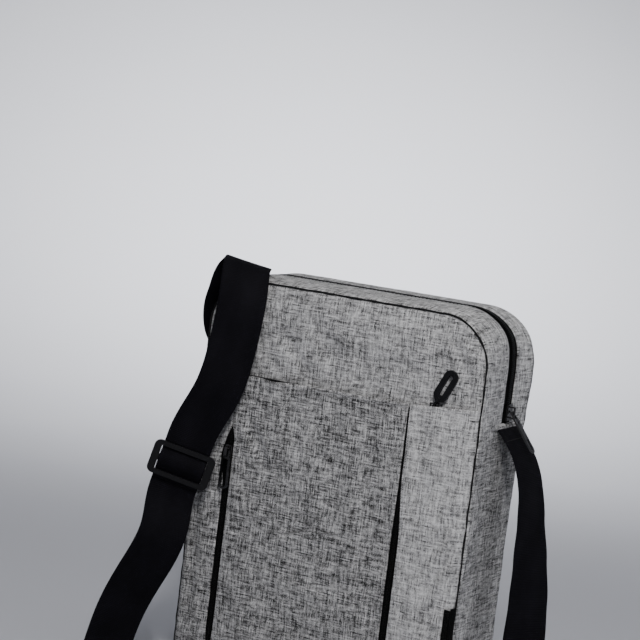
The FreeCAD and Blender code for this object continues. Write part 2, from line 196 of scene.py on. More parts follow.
class Look:
    """A material in the making."""

    def __init__(self, name):
        self.material = bpy.data.materials.new(name)
        self.material.use_nodes = True
        self.tree = self.material.node_tree
        self.tree.nodes.clear()

    def node(self, kind, settings=None, inputs=None):
        """A node of that kind, with its settings set first and then its sockets set or linked."""
        node = self.tree.nodes.new("ShaderNode" + kind)
        for key, value in (settings or {}).items():
            setattr(node, key, value)
        for key, value in (inputs or {}).items():
            socket = node.inputs[key]
            if isinstance(value, Value):
                value = value.socket
            if isinstance(value, bpy.types.NodeSocket):
                self.tree.links.new(value, socket)
            else:
                socket.default_value = value
        return node

    def coordinates(self, name):
        """Three numbers across the surface: an attribute of the mesh, or the object's own place."""
        if name == "Object":
            vector = self.node("TexCoord").outputs["Object"]
        else:
            vector = self.node("Attribute", {"attribute_name": name}).outputs["Vector"]
        split = self.node("SeparateXYZ", None, {0: vector})
        return [Value(self, split.outputs[i]) for i in range(3)]

    def noise(self, x, y, z=0.0, detail=2.0, roughness=0.5):
        vector = self.node("CombineXYZ", None, {0: x, 1: y, 2: z}).outputs[0]
        node = self.node(
            "TexNoise",
            None,
            {"Vector": vector, "Scale": 1.0, "Detail": detail, "Roughness": roughness},
        )
        return Value(self, node.outputs["Fac"])

    def blend(self, factor, first, second):
        """Colour between first and second."""
        node = self.node(
            "Mix", {"data_type": "RGBA"}, {"Factor": factor, 6: shade(first), 7: shade(second)}
        )
        return node.outputs[2]

    def bump(self, height, distance, strength=1.0):
        node = self.node(
            "Bump", None, {"Height": height, "Distance": distance, "Strength": strength}
        )
        return node.outputs["Normal"]

    def finish(self, **sockets):
        """The shader itself. Underscores in a name stand for spaces."""
        inputs = {key.replace("_", " "): shade(value) for key, value in sockets.items()}
        shader = self.node("BsdfPrincipled", None, inputs)
        self.node("OutputMaterial", None, {"Surface": shader.outputs[0]})
        return self.material


def shade(value):
    """A colour of three numbers gets its fourth. Anything else stays as it is."""
    if isinstance(value, (Value, bpy.types.NodeSocket, float, int)):
        return value
    value = tuple(value)
    return (*value, 1.0) if len(value) == 3 else value


# Distances from yarn to yarn in the heather fabric.
warp_pitch, weft_pitch = 0.92 * mm, 0.98 * mm


# ---- Finishes ---------------------------------------------------------------------------------
def heather(name, depth):
    """Two-tone plain weave with uneven yarns: depth darkens it as painted shade, and a depth below
    0 lightens it as painted light.
    """
    look = Look(name)
    u, v, _ = look.coordinates("cloth")
    sway = look.noise(u * 70, v * 70, 3.0) - 0.5
    across, along = u / warp_pitch + sway * 0.9, v / weft_pitch + sway * 0.9
    warp_yarn, weft_yarn = across.maths("FLOOR", across), along.maths("FLOOR", along)
    warp = look.noise(warp_yarn * 7.31 + 0.37, v * 115, 1.7, 2.0, 0.6)
    weft = look.noise(u * 105, weft_yarn * 7.13 + 0.41, 8.3, 2.0, 0.6)
    long_warp = look.noise(warp_yarn * 5.17 + 0.19, v * 26, 5.1, 1.0)
    long_weft = look.noise(u * 24, weft_yarn * 5.31 + 0.23, 2.9, 1.0)
    cloud = look.noise(u * 30, v * 26, 6.4, 2.0)
    rib_u, rib_v = (across * math.pi).sine(), (along * math.pi).sine()
    over = rib_u * rib_v * 0.30 + 0.5
    warp_tone = (warp - 0.5) * 2.6 + (long_warp - 0.5) * 0.9
    weft_tone = (weft - 0.5) * 2.5 + (long_weft - 0.5) * 0.7
    tone = warp_tone * over * 1.15 + weft_tone * (1 - over) * 1.15
    fleck = look.noise(u * 1050, v * 1050, 4.4, 1.0) - 0.5
    # depth paints shade over the whole copy of the fabric: above 0 it darkens it, below 0 it
    # lightens it as painted light.
    factor = (tone + fleck * 0.7 + (cloud - 0.5) * 0.14 + (0.36 - depth)).between(-0.34, 1.12)
    height = rib_u.absolute() * over * 0.6 + rib_v.absolute() * (1 - over) * 0.6 + tone * 0.35
    return look.finish(
        Base_Color=look.blend(factor, colours().yarn_dark, colours().yarn_light),
        Roughness=0.84 - factor * 0.12,
        Normal=look.bump(height, 0.00026, 0.9),
        Sheen_Weight=0.04,
        Sheen_Roughness=0.5,
        Specular_IOR_Level=0.22,
    )


def webbing():
    """Flat nylon webbing with ribs across it."""
    look = Look("webbing")
    u, v, _ = look.coordinates("cloth")
    rib = (v * (2 * math.pi / 0.0013)).sine()
    strand = (u * (2 * math.pi / 0.0011) + rib * 0.9).sine()
    fuzz = look.noise(u * 900, v * 900, 0.4, 3.0)
    wear = look.noise(u * 60, v * 25, 2.0, 2.0)
    height = rib * 0.5 + strand * 0.32 + (fuzz - 0.5) * 0.5
    light = [c * 2.2 + 0.0016 for c in colours().webbing]
    # The colour follows the rib and strand heights: a painted highlight on their crests and painted
    # shade in the grooves between them. The wear noise adds real worn patches.
    factor = (height * 0.3 + (wear - 0.5) * 0.9 + 0.35).between(0.0, 1.0)
    return look.finish(
        Base_Color=look.blend(factor, colours().webbing, light),
        Roughness=0.78 - factor * 0.16,
        Normal=look.bump(height, 0.00016, 0.8),
        Specular_IOR_Level=0.10,
    )


def tape_cloth():
    """Knitted zip tape, a herringbone that is barely seen."""
    look = Look("zip_tape")
    u, v, _ = look.coordinates("cloth")
    slant = (v * (2 * math.pi / 0.0018)).absolute() + u * (2 * math.pi / 0.0009)
    knit = slant.sine() * 0.5 + (v * (2 * math.pi / 0.0008)).sine() * 0.4
    fuzz = look.noise(u * 1300, v * 1300, 0.0, 2.0)
    light = [c * 2.4 + 0.0012 for c in colours().tape]
    # The colour follows the knit's relief: a painted highlight on its raised loops and painted
    # shade in its dips. The fuzz noise is the yarn's own uneven tone.
    factor = (knit * 0.4 + (fuzz - 0.5) + 0.4).between(0.0, 1.0)
    return look.finish(
        Base_Color=look.blend(factor, colours().tape, light),
        Roughness=0.85 - factor * 0.1,
        Normal=look.bump(knit + fuzz * 0.5, 0.00012, 0.7),
        Specular_IOR_Level=0.12,
    )


def moulded(name, tone, roughness, grain, coat=0.0, metallic=0.0, scratches=0.12):
    """Moulded plastic, nylon or worked metal: fine grain, handling marks and worn patches."""
    look = Look(name)
    x, y, z = look.coordinates("Object")
    grit = look.noise(x * grain, y * grain, z * grain, 3.0)
    smear = look.noise(x * 160 + z * 40, y * 160, z * 45, 3.0, 0.6)
    scratch = look.noise(x * 2600 + z * 500, y * 2600, z * 260, 2.0).between(0.60, 0.72)
    light = [min(1.0, c * 1.6 + 0.001) for c in tone]
    factor = ((smear - 0.5) * 0.9 + (grit - 0.5) * 0.5 + scratch * 0.35 + 0.28).between(0.0, 1.0)
    uneven = roughness + (smear - 0.5) * scratches + scratch * scratches
    return look.finish(
        Base_Color=look.blend(factor, tone, light),
        Roughness=uneven.maths("MAXIMUM", uneven, 0.06),
        Metallic=metallic,
        Normal=look.bump(grit * 0.7 - scratch * 0.3, 0.00005, 0.6),
        Coat_Weight=coat,
        Coat_Roughness=0.12,
        Specular_IOR_Level=0.26,
    )


def soft_plain(name, tone, grain, roughness=0.8):
    """Lining, foam, board and thread."""
    look = Look(name)
    x, y, z = look.coordinates("Object")
    grit = look.noise(x * grain, y * grain, z * grain, 3.0, 0.6)
    cloud = look.noise(x * 30, y * 30, z * 30, 2.0)
    light = [min(1.0, c * 1.5 + 0.01) for c in tone]
    factor = ((grit - 0.5) * 1.2 + (cloud - 0.5) * 0.6 + 0.45).between(0.0, 1.0)
    return look.finish(
        Base_Color=look.blend(factor, tone, light),
        Roughness=roughness + (grit - 0.5) * 0.15,
        Normal=look.bump(grit, 0.00012, 0.7),
        Specular_IOR_Level=0.3,
    )


def studio_paper():
    """Pale floor and backdrop, matt and nearly even."""
    look = Look("studio_paper")
    x, y, z = look.coordinates("Object")
    cloud = look.noise(x * 1.3, y * 1.3, z * 1.3, 2.0)
    light = colours().floor
    dark = [c * 0.97 for c in light]
    return look.finish(
        Base_Color=look.blend(cloud.between(0.2, 0.8), dark, light),
        Roughness=0.95,
        Specular_IOR_Level=0.1,
    )


finishes = {
    "fabric": lambda: heather("heather_fabric", 0.0),
    # The pocket and side copies of the one heather fabric are darkened as painted shade, and the
    # column copy is lightened as painted light.
    "pocket": lambda: heather("heather_painted_shade_pocket", 0.15),
    "side": lambda: heather("heather_painted_shade_side", 0.08),
    "column": lambda: heather("heather_painted_light_column", -0.09),
    "webbing": webbing,
    "tape": tape_cloth,
    "coil": lambda: moulded("zip_coil", colours().tape, 0.38, 2400),
    "metal": lambda: moulded("slider_metal", colours().metal, 0.24, 1500, 0.3, 0.9),
    "steel": lambda: moulded("pull_steel", colours().steel, 0.30, 1200, 0.0, 1.0),
    "black_metal": lambda: moulded("pull_black", colours().black_metal, 0.20, 1300, 0.5, 0.85),
    "rubber": lambda: moulded("pull_rubber", colours().plastic, 0.48, 1800),
    "plastic": lambda: moulded("glide_plastic", colours().plastic, 0.40, 1400),
    "lining": lambda: soft_plain("lining", colours().lining, 1500, 0.6),
    "foam": lambda: soft_plain("foam", (0.30, 0.30, 0.31), 900, 0.95),
    "board": lambda: soft_plain("board", (0.05, 0.05, 0.05), 500, 0.7),
    "binding": lambda: soft_plain("edge_binding", (0.002, 0.002, 0.0022), 1600, 0.85),
    "thread": lambda: soft_plain("sewing_thread", colours().thread, 2600, 0.75),
    "dark_thread": lambda: soft_plain("dark_thread", (0.03, 0.03, 0.032), 2600, 0.75),
    "paper": studio_paper,
}
made_finishes = {}


def finish(name):
    if name not in made_finishes:
        made_finishes[name] = finishes[name]()
    return made_finishes[name]


# ---- Mesh writing -----------------------------------------------------------------------------
def ease(value, low=0.0, high=1.0):
    t = np.clip((np.asarray(value, float) - low) / (high - low), 0, 1)
    return t * t * (3 - 2 * t)


def mesh_object(name, points, faces, cloth, look):
    mesh = bpy.data.meshes.new(name)
    mesh.from_pydata([tuple(p) for p in points], [], [tuple(int(i) for i in f) for f in faces])
    if cloth is not None:
        flat = np.zeros((len(points), 3), np.float32)
        flat[:, :2] = cloth
        attribute = mesh.attributes.new("cloth", "FLOAT_VECTOR", "POINT")
        attribute.data.foreach_set("vector", flat.ravel())
    mesh.polygons.foreach_set("use_smooth", [True] * len(mesh.polygons))
    mesh.materials.append(finish(look))
    piece = bpy.data.objects.new(name, mesh)
    bpy.context.scene.collection.objects.link(piece)
    return piece


def grid_faces(rows, columns, wrap_rows=False, wrap_columns=False, first=0):
    faces = []
    for i in range(rows if wrap_rows else rows - 1):
        a, b = i * columns, (i + 1) % rows * columns
        for j in range(columns if wrap_columns else columns - 1):
            k = (j + 1) % columns
            faces.append((first + a + j, first + a + k, first + b + k, first + b + j))
    return faces


def grid_object(name, points, cloth, look, flip=False, wrap_columns=False, cap=False):
    """A mesh from a table of points, rows by columns, with the flat cloth's own measures."""
    rows, columns = points.shape[:2]
    faces = grid_faces(rows, columns, wrap_columns=wrap_columns)
    if cap:
        faces.append(tuple(range(columns))[::-1])
        faces.append(tuple(range((rows - 1) * columns, rows * columns)))
    if flip:
        faces = [face[::-1] for face in faces]
    return mesh_object(name, points.reshape(-1, 3), faces, cloth.reshape(-1, 2), look)


def unit(rows):
    """Each row made 1 long."""
    return rows / np.linalg.norm(rows, axis=1, keepdims=True)


def beads(name, centres, along, outward, size, look, rings=5, sides=6, square=0.55):
    """Many small rounded bars in one mesh, each size = (length, width, height)."""
    centres, along, outward = (
        np.asarray(a, float).reshape(-1, 3) for a in (centres, along, outward)
    )
    along = unit(along)
    outward = unit(outward - along * (outward * along).sum(1, keepdims=True))
    sideways = np.cross(along, outward)
    lean = np.linspace(-math.pi / 2, math.pi / 2, rings + 2)[1:-1]
    turn = np.arange(sides) * 2 * math.pi / sides
    local = [(-1, 0, 0)]
    for a in lean:
        radius = math.cos(a) ** square
        local += [(math.sin(a), radius * math.cos(t), radius * math.sin(t)) for t in turn]
    local.append((1, 0, 0))
    local = np.array(local) * np.array(size) / 2
    count = len(local)
    points = (
        centres[:, None]
        + along[:, None] * local[None, :, :1]
        + sideways[:, None] * local[None, :, 1:2]
        + outward[:, None] * local[None, :, 2:]
    )
    single = [(0, 1 + (j + 1) % sides, 1 + j) for j in range(sides)]
    single += grid_faces(rings, sides, wrap_columns=True, first=1)
    last = 1 + (rings - 1) * sides
    single += [(count - 1, last + j, last + (j + 1) % sides) for j in range(sides)]
    faces = [tuple(i * count + k for k in face) for i in range(len(centres)) for face in single]
    return mesh_object(name, points.reshape(-1, 3), faces, None, look)


def distances(points):
    """How far along the line each of its points is."""
    return np.concatenate([[0], np.cumsum(np.linalg.norm(np.diff(points, axis=0), axis=1))])


def read_at(where, walk, table):
    """The table's rows, read at those distances along the walk."""
    return np.stack([np.interp(where, walk, table[:, i]) for i in range(3)], -1)


def placed(piece, body, slot, *nodes):
    """The piece rides on that body and stands for those nodes. The slot is not used."""
    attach(piece, body)
    if nodes:
        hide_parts(*nodes)
    return piece


def thicken(piece, thickness):
    """Gives a sheet its cloth's thickness, inward."""
    solid = piece.modifiers.new("cloth", "SOLIDIFY")
    solid.thickness, solid.offset = thickness, -1
    return piece


# ---- The bag's outline ------------------------------------------------------------------------
class Outline:
    """The bag's outer edge seen from the front, walked from the middle of the base to the right."""

    def __init__(self):
        top_radius, base_radius = sizes().top_radius, sizes().base_radius
        side, top = half_width, bag_top
        stops = [(0, 0, 0, -1)]
        for x, z, radius, start in (
            (side - base_radius, base_radius, base_radius, -90),
            (side - top_radius, top - top_radius, top_radius, 0),
            (top_radius - side, top - top_radius, top_radius, 90),
            (base_radius - side, base_radius, base_radius, 180),
        ):
            for angle in np.radians(start + np.linspace(0, 90, 46)):
                stops.append(
                    (x + radius * math.cos(angle), z + radius * math.sin(angle),
                     math.cos(angle), math.sin(angle))
                )
        stops.append((0, 0, 0, -1))
        self.stops = np.array(stops)
        steps = np.hypot(*np.diff(self.stops[:, :2], axis=0).T)
        self.walk = np.concatenate([[0], np.cumsum(steps)])
        self.whole = self.walk[-1]
        self.seam = side - base_radius + base_radius * math.pi / 2 + seam_z - base_radius

    def at(self, s):
        """x, z and the outward direction at distance s along the edge."""
        s = np.mod(s, self.whole)
        x, z, out_x, out_z = (np.interp(s, self.walk, self.stops[:, i]) for i in range(4))
        size = np.hypot(out_x, out_z)
        return x, z, out_x / size, out_z / size

    def outward(self, s):
        """The outward directions at those distances, as rows of three."""
        _, _, out_x, out_z = self.at(s)
        return np.stack([out_x, out_x * 0, out_z], -1)

    def point(self, s, y, out=0.0):
        """Points at depth y that stand out from the edge by that much."""
        s, y, out = np.broadcast_arrays(s, y, out)
        x, z, out_x, out_z = self.at(s)
        return rear_fullness(np.stack([x + out_x * out, y, z + out_z * out], -1))


def rear_fullness(points):
    """The soft rear half stands out and back a little, most at its upper corners."""
    x, y, z = points[..., 0], points[..., 1], points[..., 2]
    rear = ease(y, 0.021, back_y)
    corner = np.exp(-(((z - 0.285) / 0.060) ** 2))
    grown = points.copy()
    grown[..., 0] += x / half_width * rear * (0.0008 + 0.0032 * corner)
    grown[..., 1] += rear * (0.0015 + 0.0030 * corner)
    grown[..., 2] += rear * 0.0012 * ease(z, 0.26, bag_top)
    return grown


def inside(x, z):
    """How far a point of the front lies inside the bag's edge."""
    radius = np.where(z > bag_top / 2, sizes().top_radius, sizes().base_radius)
    qx = np.abs(x) - half_width + radius
    qz = np.abs(z - bag_top / 2) - bag_top / 2 + radius
    outside = np.hypot(np.maximum(qx, 0), np.maximum(qz, 0))
    return radius - outside - np.minimum(np.maximum(qx, qz), 0)


def ripples(a, b, seed, longest=0.055, shortest=0.014, waves=16):
    """Soft even unevenness, about -1 to 1, the same each time."""
    chance = np.random.default_rng(seed)
    total = np.zeros(np.broadcast(a, b).shape)
    for _ in range(waves):
        size = chance.uniform(shortest, longest)
        turn, phase = chance.uniform(0, 2 * math.pi, 2)
        wave = 2 * math.pi / size * (a * math.cos(turn) + b * math.sin(turn)) + phase
        total = total + np.sin(wave) * size / longest
    return total / math.sqrt(waves)


def crease(a, b, start, end, width, height):
    """A soft fold along a line: a ridge if height is above 0, a hollow below."""
    start, end = np.array(start) * mm, np.array(end) * mm
    run = end - start
    size = np.hypot(*run)
    along = ((a - start[0]) * run[0] + (b - start[1]) * run[1]) / size**2
    across = ((a - start[0]) * run[1] - (b - start[1]) * run[0]) / size
    fade = ease(along, -0.25, 0.3) * (1 - ease(along, 0.7, 1.25))
    return 2.1 * height * mm * fade * np.exp(-((across / (width * mm)) ** 2))


# Soft folds: start and end as (x, z), width and height, all in millimetres.
upper_front_folds = (
    ((-60, 279), (-33, 253), 3.6, 1.3), ((-49, 283), (-23, 254), 3.6, -1.5),
    ((-71, 272), (-47, 249), 3.4, -1.0), ((-38, 292), (-14, 262), 4.2, 1.0),
    ((-26, 302), (-4, 270), 4.4, -1.1), ((-10, 300), (10, 282), 5.0, 0.8),
    ((8, 308), (2, 268), 5.0, 0.9), ((20, 306), (15, 262), 4.4, -0.9),
    ((48, 306), (36, 262), 5.0, 0.8), ((62, 302), (52, 262), 4.6, -1.0),
    ((84, 310), (104, 270), 4.6, 0.9), ((96, 306), (113, 262), 4.0, -1.0),
    ((-92, 312), (-66, 294), 4.4, -1.0), ((-96, 300), (-72, 286), 4.4, 0.9),
    ((-84, 262), (-76, 250), 4.0, 0.8), ((30, 290), (70, 282), 5.0, 0.6),
)
pocket_folds = (
    ((-80, 212), (-62, 180), 4.2, 1.6), ((-72, 216), (-52, 178), 4.2, -1.4),
    ((-62, 214), (-46, 186), 4.4, 1.0), ((-78, 178), (-74, 140), 4.6, 1.1),
    ((-80, 168), (-50, 150), 5.0, -0.9), ((-46, 240), (-40, 190), 6.0, 0.9),
    ((-20, 226), (-4, 150), 7.0, 1.0), ((4, 238), (10, 180), 5.4, -1.0),
    ((36, 214), (48, 120), 6.4, -1.0), ((24, 190), (32, 90), 6.0, 0.8),
    ((-50, 96), (10, 88), 5.0, 0.9), ((-30, 60), (40, 48), 6.0, -0.9),
    ((-66, 110), (-60, 40), 6.0, 0.9), ((76, 236), (84, 170), 4.4, -1.1),
    ((118, 198), (98, 152), 3.6, 1.5), ((118, 184), (99, 140), 3.4, -1.5),
    ((119, 170), (101, 128), 3.4, 1.4), ((118, 156), (102, 114), 3.4, -1.4),
    ((118, 142), (99, 102), 3.6, 1.2), ((88, 120), (96, 60), 6.0, 1.0),
    ((118, 99), (103, 70), 2.6, -1.2), ((110, 96), (92, 44), 4.4, 1.0),
    ((98, 100), (84, 60), 4.0, -0.9), ((-106, 196), (-100, 100), 4.6, 1.3),
    ((-113, 130), (-106, 40), 4.6, -1.3), ((-100, 90), (-108, 20), 4.6, 1.1),
)


def folds(a, b, table):
    return sum(crease(a, b, *line) for line in table)


def held(rise, ridge, hollow):
    """The same rise, never above the ridge limit nor below the hollow limit."""
    limit = np.where(rise > 0, ridge, hollow)
    return limit * np.tanh(rise / limit)


def puckers(x, z, edge, seed):
    """Small gathers that run in from the edge seam."""
    round_bag = np.arctan2(z - bag_top / 2, x) * 0.14
    gather = ripples(round_bag, round_bag * 0, seed, 0.016, 0.006)
    return 0.45 * mm * gather * ease(edge, 0.0005, 0.003) * (1 - ease(edge, 0.004, 0.016))


def seam_groove(distance, width=0.0019):
    """Depth of the groove at that distance from an edge seam."""
    return sizes().groove * np.exp(-((distance / width) ** 2))


def front_surface(x, z):
    """The face of the front cover."""
    edge = inside(x, z)
    groove = seam_groove(edge)
    # The face lies low where the pocket's pull passes, and is fuller above it.
    room = 0.05 * mm + 0.30 * mm * ease(z, 0.257, 0.272)
    room = room + 1.9 * mm * ease(z, bag_top - 0.048, bag_top - 0.030)
    crown = room * ease(edge, 0.0, 0.018)
    wave = sizes().fold * ripples(x, z, 3) * ease(edge, 0.004, 0.02)
    rise = folds(x, z, upper_front_folds) * ease(edge, 0.003, 0.014)
    free = ease(z, 0.278, 0.290)
    rise = held(
        rise + wave + puckers(x, z, edge, 61),
        (0.05 + 0.7 * ease(z, 0.256, 0.270) + 1.6 * free) * mm,
        (1.3 + 0.7 * free) * mm,
    )
    return front_y + groove - crown - np.where(z < pocket_high - 0.004, 0, rise)


def back_surface(x, z):
    """The face of the back cover, fuller than the front."""
    edge = inside(x, z)
    groove = seam_groove(edge)
    crown = sizes().back_crown * ease(edge, 0.0, 0.05) ** 0.7
    wave = 0.6 * sizes().fold * ripples(x, z, 11, 0.09, 0.03) * ease(edge, 0.004, 0.02)
    return back_y - groove + crown + wave


# Where the pocket's top edge gapes a little, and where its face lies calm beside the upright zips.
gape_x, calm_lines = -0.052, (0.067, -0.0865)


def pocket_surface(x, z):
    """The face of the front pocket, which rolls down to the edge seam at its sides and base."""
    edge = inside(x, z)
    side = np.minimum(half_width - np.abs(x), z)
    edge = np.where(z > 0.1, half_width - np.abs(x), edge)
    drop = (front_y - pocket_face) * (1 - ease(edge, -0.002, 0.0085))
    groove = sizes().groove * 0.8 * np.exp(-(((edge - 0.0015) / 0.0010) ** 2))
    wave = sizes().fold * 1.1 * ripples(x, z, 7) * ease(side, 0.003, 0.02)
    rise = held(wave + folds(x, z, pocket_folds) * ease(side, 0.002, 0.012), 1.8 * mm, 1.8 * mm)
    gape = 1.5 * mm * np.exp(-(((x - gape_x) / 0.011) ** 2)) * ease(z, 0.236, 0.247)
    calm = math.prod(ease(np.abs(x - line), 0.003, 0.012) for line in calm_lines)
    return pocket_face + drop + groove - rise * (0.25 + 0.75 * calm) - gape


# A turned edge, as steps of (distance in from the fold, depth behind the face), in millimetres.
hem = (
    (1.6, 0.0), (0.9, 0.02), (0.45, 0.12), (0.14, 0.34), (0.0, 0.66), (0.12, 0.98), (0.5, 1.18),
    (5.0, 1.22),
)
plain_edge = ((0.0, 0.0),)


def spread(low_edge, high_edge, count):
    """Steps across a sheet: (share from low to high, distance in from that end's edge, depth)."""
    steps = [(0.0, inset * mm, depth * mm) for inset, depth in low_edge[::-1]]
    first = low_edge[0][0] * mm + 0.0008
    last = high_edge[0][0] * mm + 0.0008
    for i in range(count):
        share = i / (count - 1)
        steps.append((share, first * (1 - share) - last * share, 0.0))
    steps += [(1.0, -inset * mm, depth * mm) for inset, depth in high_edge]
    return np.array(steps)


def sewn_panel(name, surface, left, right, low, high, edges, look, pitch=0.0019):
    """A flat-cut panel that faces the front, with each of its four edges turned or plain."""
    half_way = (low(0.0) + high(0.0)) / 2
    columns = spread(edges[0], edges[1], max(5, int((right(half_way) - left(half_way)) / pitch)))
    rows = spread(edges[2], edges[3], max(5, int((high(0.0) - low(0.0)) / pitch)))
    nominal = low(0.0) + (high(0.0) - low(0.0)) * rows[:, 0] + rows[:, 1]
    z = nominal[:, None] * np.ones(len(columns))
    x = left(z) + (right(z) - left(z)) * columns[:, 0] + columns[:, 1]
    z = low(x) + (high(x) - low(x)) * rows[:, :1] + rows[:, 1:2]
    depth = np.maximum(columns[:, 2][None, :], rows[:, 2][:, None])
    y = surface(x, z) + depth
    return grid_object(name, np.stack([x, y, z], -1), np.stack([x, z], -1), look)


# ---- Covers -----------------------------------------------------------------------------------
def outline_rows(pitch):
    """Heights of rows with half their width, close together where the corners turn."""
    top_radius, base_radius = sizes().top_radius, sizes().base_radius
    lower = np.radians(np.linspace(-90, 0, 14))
    upper = np.radians(np.linspace(0, 90, 22))
    straight = np.arange(base_radius, bag_top - top_radius, pitch)[1:]
    rows = [
        (base_radius * (1 + math.sin(a)), half_width + base_radius * (math.cos(a) - 1))
        for a in lower
    ]
    rows += [(z, half_width) for z in straight]
    rows += [
        (bag_top + top_radius * (math.sin(a) - 1), half_width + top_radius * (math.cos(a) - 1))
        for a in upper
    ]
    return np.array(rows)


def cover(name, surface, look, inward, pitch=0.0026):
    """A whole panel of the bag's outline, with its rim turned into the seam."""
    rows = outline_rows(pitch)
    half = int(half_width / pitch)
    crowding = math.pi / 2 * 0.82
    across = np.sin(np.linspace(-1, 1, 2 * half + 1) * crowding) / math.sin(crowding)
    z = rows[:, :1] * np.ones(len(across))
    x = rows[:, 1:] * across[None, :]
    y = surface(x, z)
    points = np.stack([x, y, z], -1)
    rows_n, columns_n = points.shape[:2]
    order = (
        list(range(columns_n))
        + [i * columns_n + columns_n - 1 for i in range(1, rows_n - 1)]
        + [(rows_n - 1) * columns_n + j for j in range(columns_n - 1, -1, -1)]
        + [i * columns_n for i in range(rows_n - 2, 0, -1)]
    )
    rim = points.reshape(-1, 3)[order]
    centre = np.array([0, 0, bag_top / 2])
    tuck = rim + (centre - rim) * np.array([0.006, 0, 0.005])
    tuck[:, 1] += inward * 0.0012
    if inward < 0:
        points, tuck = rear_fullness(points), rear_fullness(tuck)
    count, ring = rows_n * columns_n, len(order)
    faces = grid_faces(rows_n, columns_n)
    for i in range(ring):
        k = (i + 1) % ring
        faces.append((order[k], order[i], count + i, count + k))
    everything = np.concatenate([points.reshape(-1, 3), tuck])
    if inward < 0:
        faces = [face[::-1] for face in faces]
    return mesh_object(name, everything, faces, everything[:, [0, 2]], look)


# The top stands highest at crown_y and is flat again crown_reach away from it.
crown_y, crown_reach = 0.008, 0.048


def crown_at(s, y, edge):
    """How far the top stands up at distance s along the outline and depth y."""
    height = edge.at(s)[1]
    arch = 1 - ((y - crown_y) / crown_reach) ** 2
    return sizes().top_crown * ease(height, bag_top - 0.036, bag_top - 0.012) * arch


def side_swell(s, y, edge):
    """The side walls' own unevenness: soft upright folds, and calm where the strap is sewn."""
    _, z, _, out_z = edge.at(s)
    calm = ease(z, 0.004, 0.03) * (1 - ease(z, seam_z - 0.045, seam_z - 0.018))
    calm = calm * ease(-np.abs(out_z), -0.5, 0)
    lean = np.interp(y, [-0.040, -0.018, 0.004, 0.026, 0.040], [0, -0.6, 0.7, -0.2, 0])
    swell = lean * 1.1 * mm + 0.6 * mm * ripples(s, y * 1.6, 21, 0.09, 0.03)
    return swell * calm


def rim_groove(y):
    """The seam groove at both edges of the walls."""
    near = np.minimum(y - front_y, back_y - y)
    return -seam_groove(near, 0.0015)


def band(name, s, y, out, edge, look, flip=False):
    s, y = np.meshgrid(s, y, indexing="ij")
    height = out(s, y)
    return grid_object(name, edge.point(s, y, height), np.stack([y, s], -1), look, flip)


# ---- Zips -------------------------------------------------------------------------------------
def coil(name, path, across, outward, pitch, width, height):
    """The interlocked coils of a closed zip, as bars that reach in from both sides in turn."""
    path, across, outward = (np.asarray(a, float) for a in (path, across, outward))
    walk = distances(path)
    centres, bars, ups = [], [], []
    for side in (-1, 1):
        places = np.arange(pitch * (0.5 if side < 0 else 1.0), walk[-1] - pitch / 3, pitch)
        reach = read_at(places, walk, across)
        centres.append(read_at(places, walk, path) + reach * side * width * 0.23)
        bars.append(reach)
        ups.append(read_at(places, walk, outward))
    size = (width * 0.54, pitch * 0.62, height)
    return beads(name, np.concatenate(centres), np.concatenate(bars), np.concatenate(ups), size,
                 "coil", rings=4, sides=6, square=0.4)


def flat_tape(name, x0, x1, y, z0, z1, nodes, level=False):
    """A strip of zip tape: upright and facing the front, or level and facing up."""
    a = np.linspace(x0, x1, max(3, int(abs(x1 - x0) / 0.003)))
    b = np.linspace(z0, z1, max(3, int(abs(z1 - z0) / 0.003)))
    a, b = np.meshgrid(a, b)
    if level:
        points = np.stack([a, b, np.full_like(a, y)], -1)
    else:
        points = np.stack([a, np.full_like(a, y), b], -1)
    piece = grid_object(name, points, np.stack([b, a], -1), "tape")
    return placed(thicken(piece, tape_thickness), "bag", "zip_tape", *nodes)


# ---- Strap ------------------------------------------------------------------------------------
# The webbing's stops in millimetres, each with the direction of its width.
short_route = (
    ((-123.6, 10, 236), (0, 1, 0)), ((-128, 9.5, 252), (0.1, 1, 0)),
    ((-138, 5, 280), (0.3, 0.95, -0.05)), ((-131, -2, 308), (0.45, 0.88, -0.1)),
    ((-113.5, -14, 329), (0.8, 0.58, -0.18)), ((-98, -29.5, 337), (0.86, 0.47, -0.2)),
    ((-90.5, -45, 335.5), (0.86, 0.47, -0.2)), ((-84.5, -56, 318.5), (0.86, 0.47, -0.2)),
    ((-85.5, -60, 280), (0.87, 0.47, -0.18)), ((-94, -63.5, 234), (0.87, 0.46, -0.2)),
)
long_route = (
    ((-121, -75, 122), (0.87, 0.45, -0.24)), ((-136, -79, 80), (0.88, 0.44, -0.2)),
    ((-152, -83, 38), (0.88, 0.46, -0.1)), ((-154, -93, 9), (0.88, 0.47, 0)),
    ((-147, -112, 2.0), (0.88, 0.47, 0)), ((-133, -142, 15.2), (0.7, 0.4, 0.6)),
    ((-108, -170, 20.2), (0.1, 0.1, 1)), ((-60, -192, 20.2), (0, 0, 1)),
    ((10, -200, 20.2), (0, 0, 1)), ((75, -188, 20.2), (0, 0, 1)),
    ((125, -158, 20.2), (-0.1, 0.1, 1)), ((152, -112, 15.2), (-0.8, -0.1, 0.6)),
    ((163, -66, 3.2), (-1, -0.05, 0)), ((167, -34, 4.2), (-1, -0.1, 0)),
    ((168, -12, 14), (-0.97, -0.25, 0)), ((166, -2, 42), (-0.85, -0.5, 0)),
    ((163, 4, 80), (-0.6, -0.8, 0)), ((161, 7, 111), (-0.5, -0.86, 0)),
    ((157.5, 9, 142), (-0.36, -0.93, 0)), ((153.5, 10, 173), (-0.2, -0.98, 0)),
    ((149, 10, 200), (-0.12, -1, 0)), ((137, 10, 226), (-0.06, -1, 0)),
    ((124, 10, 240), (0, -1, 0)),
)

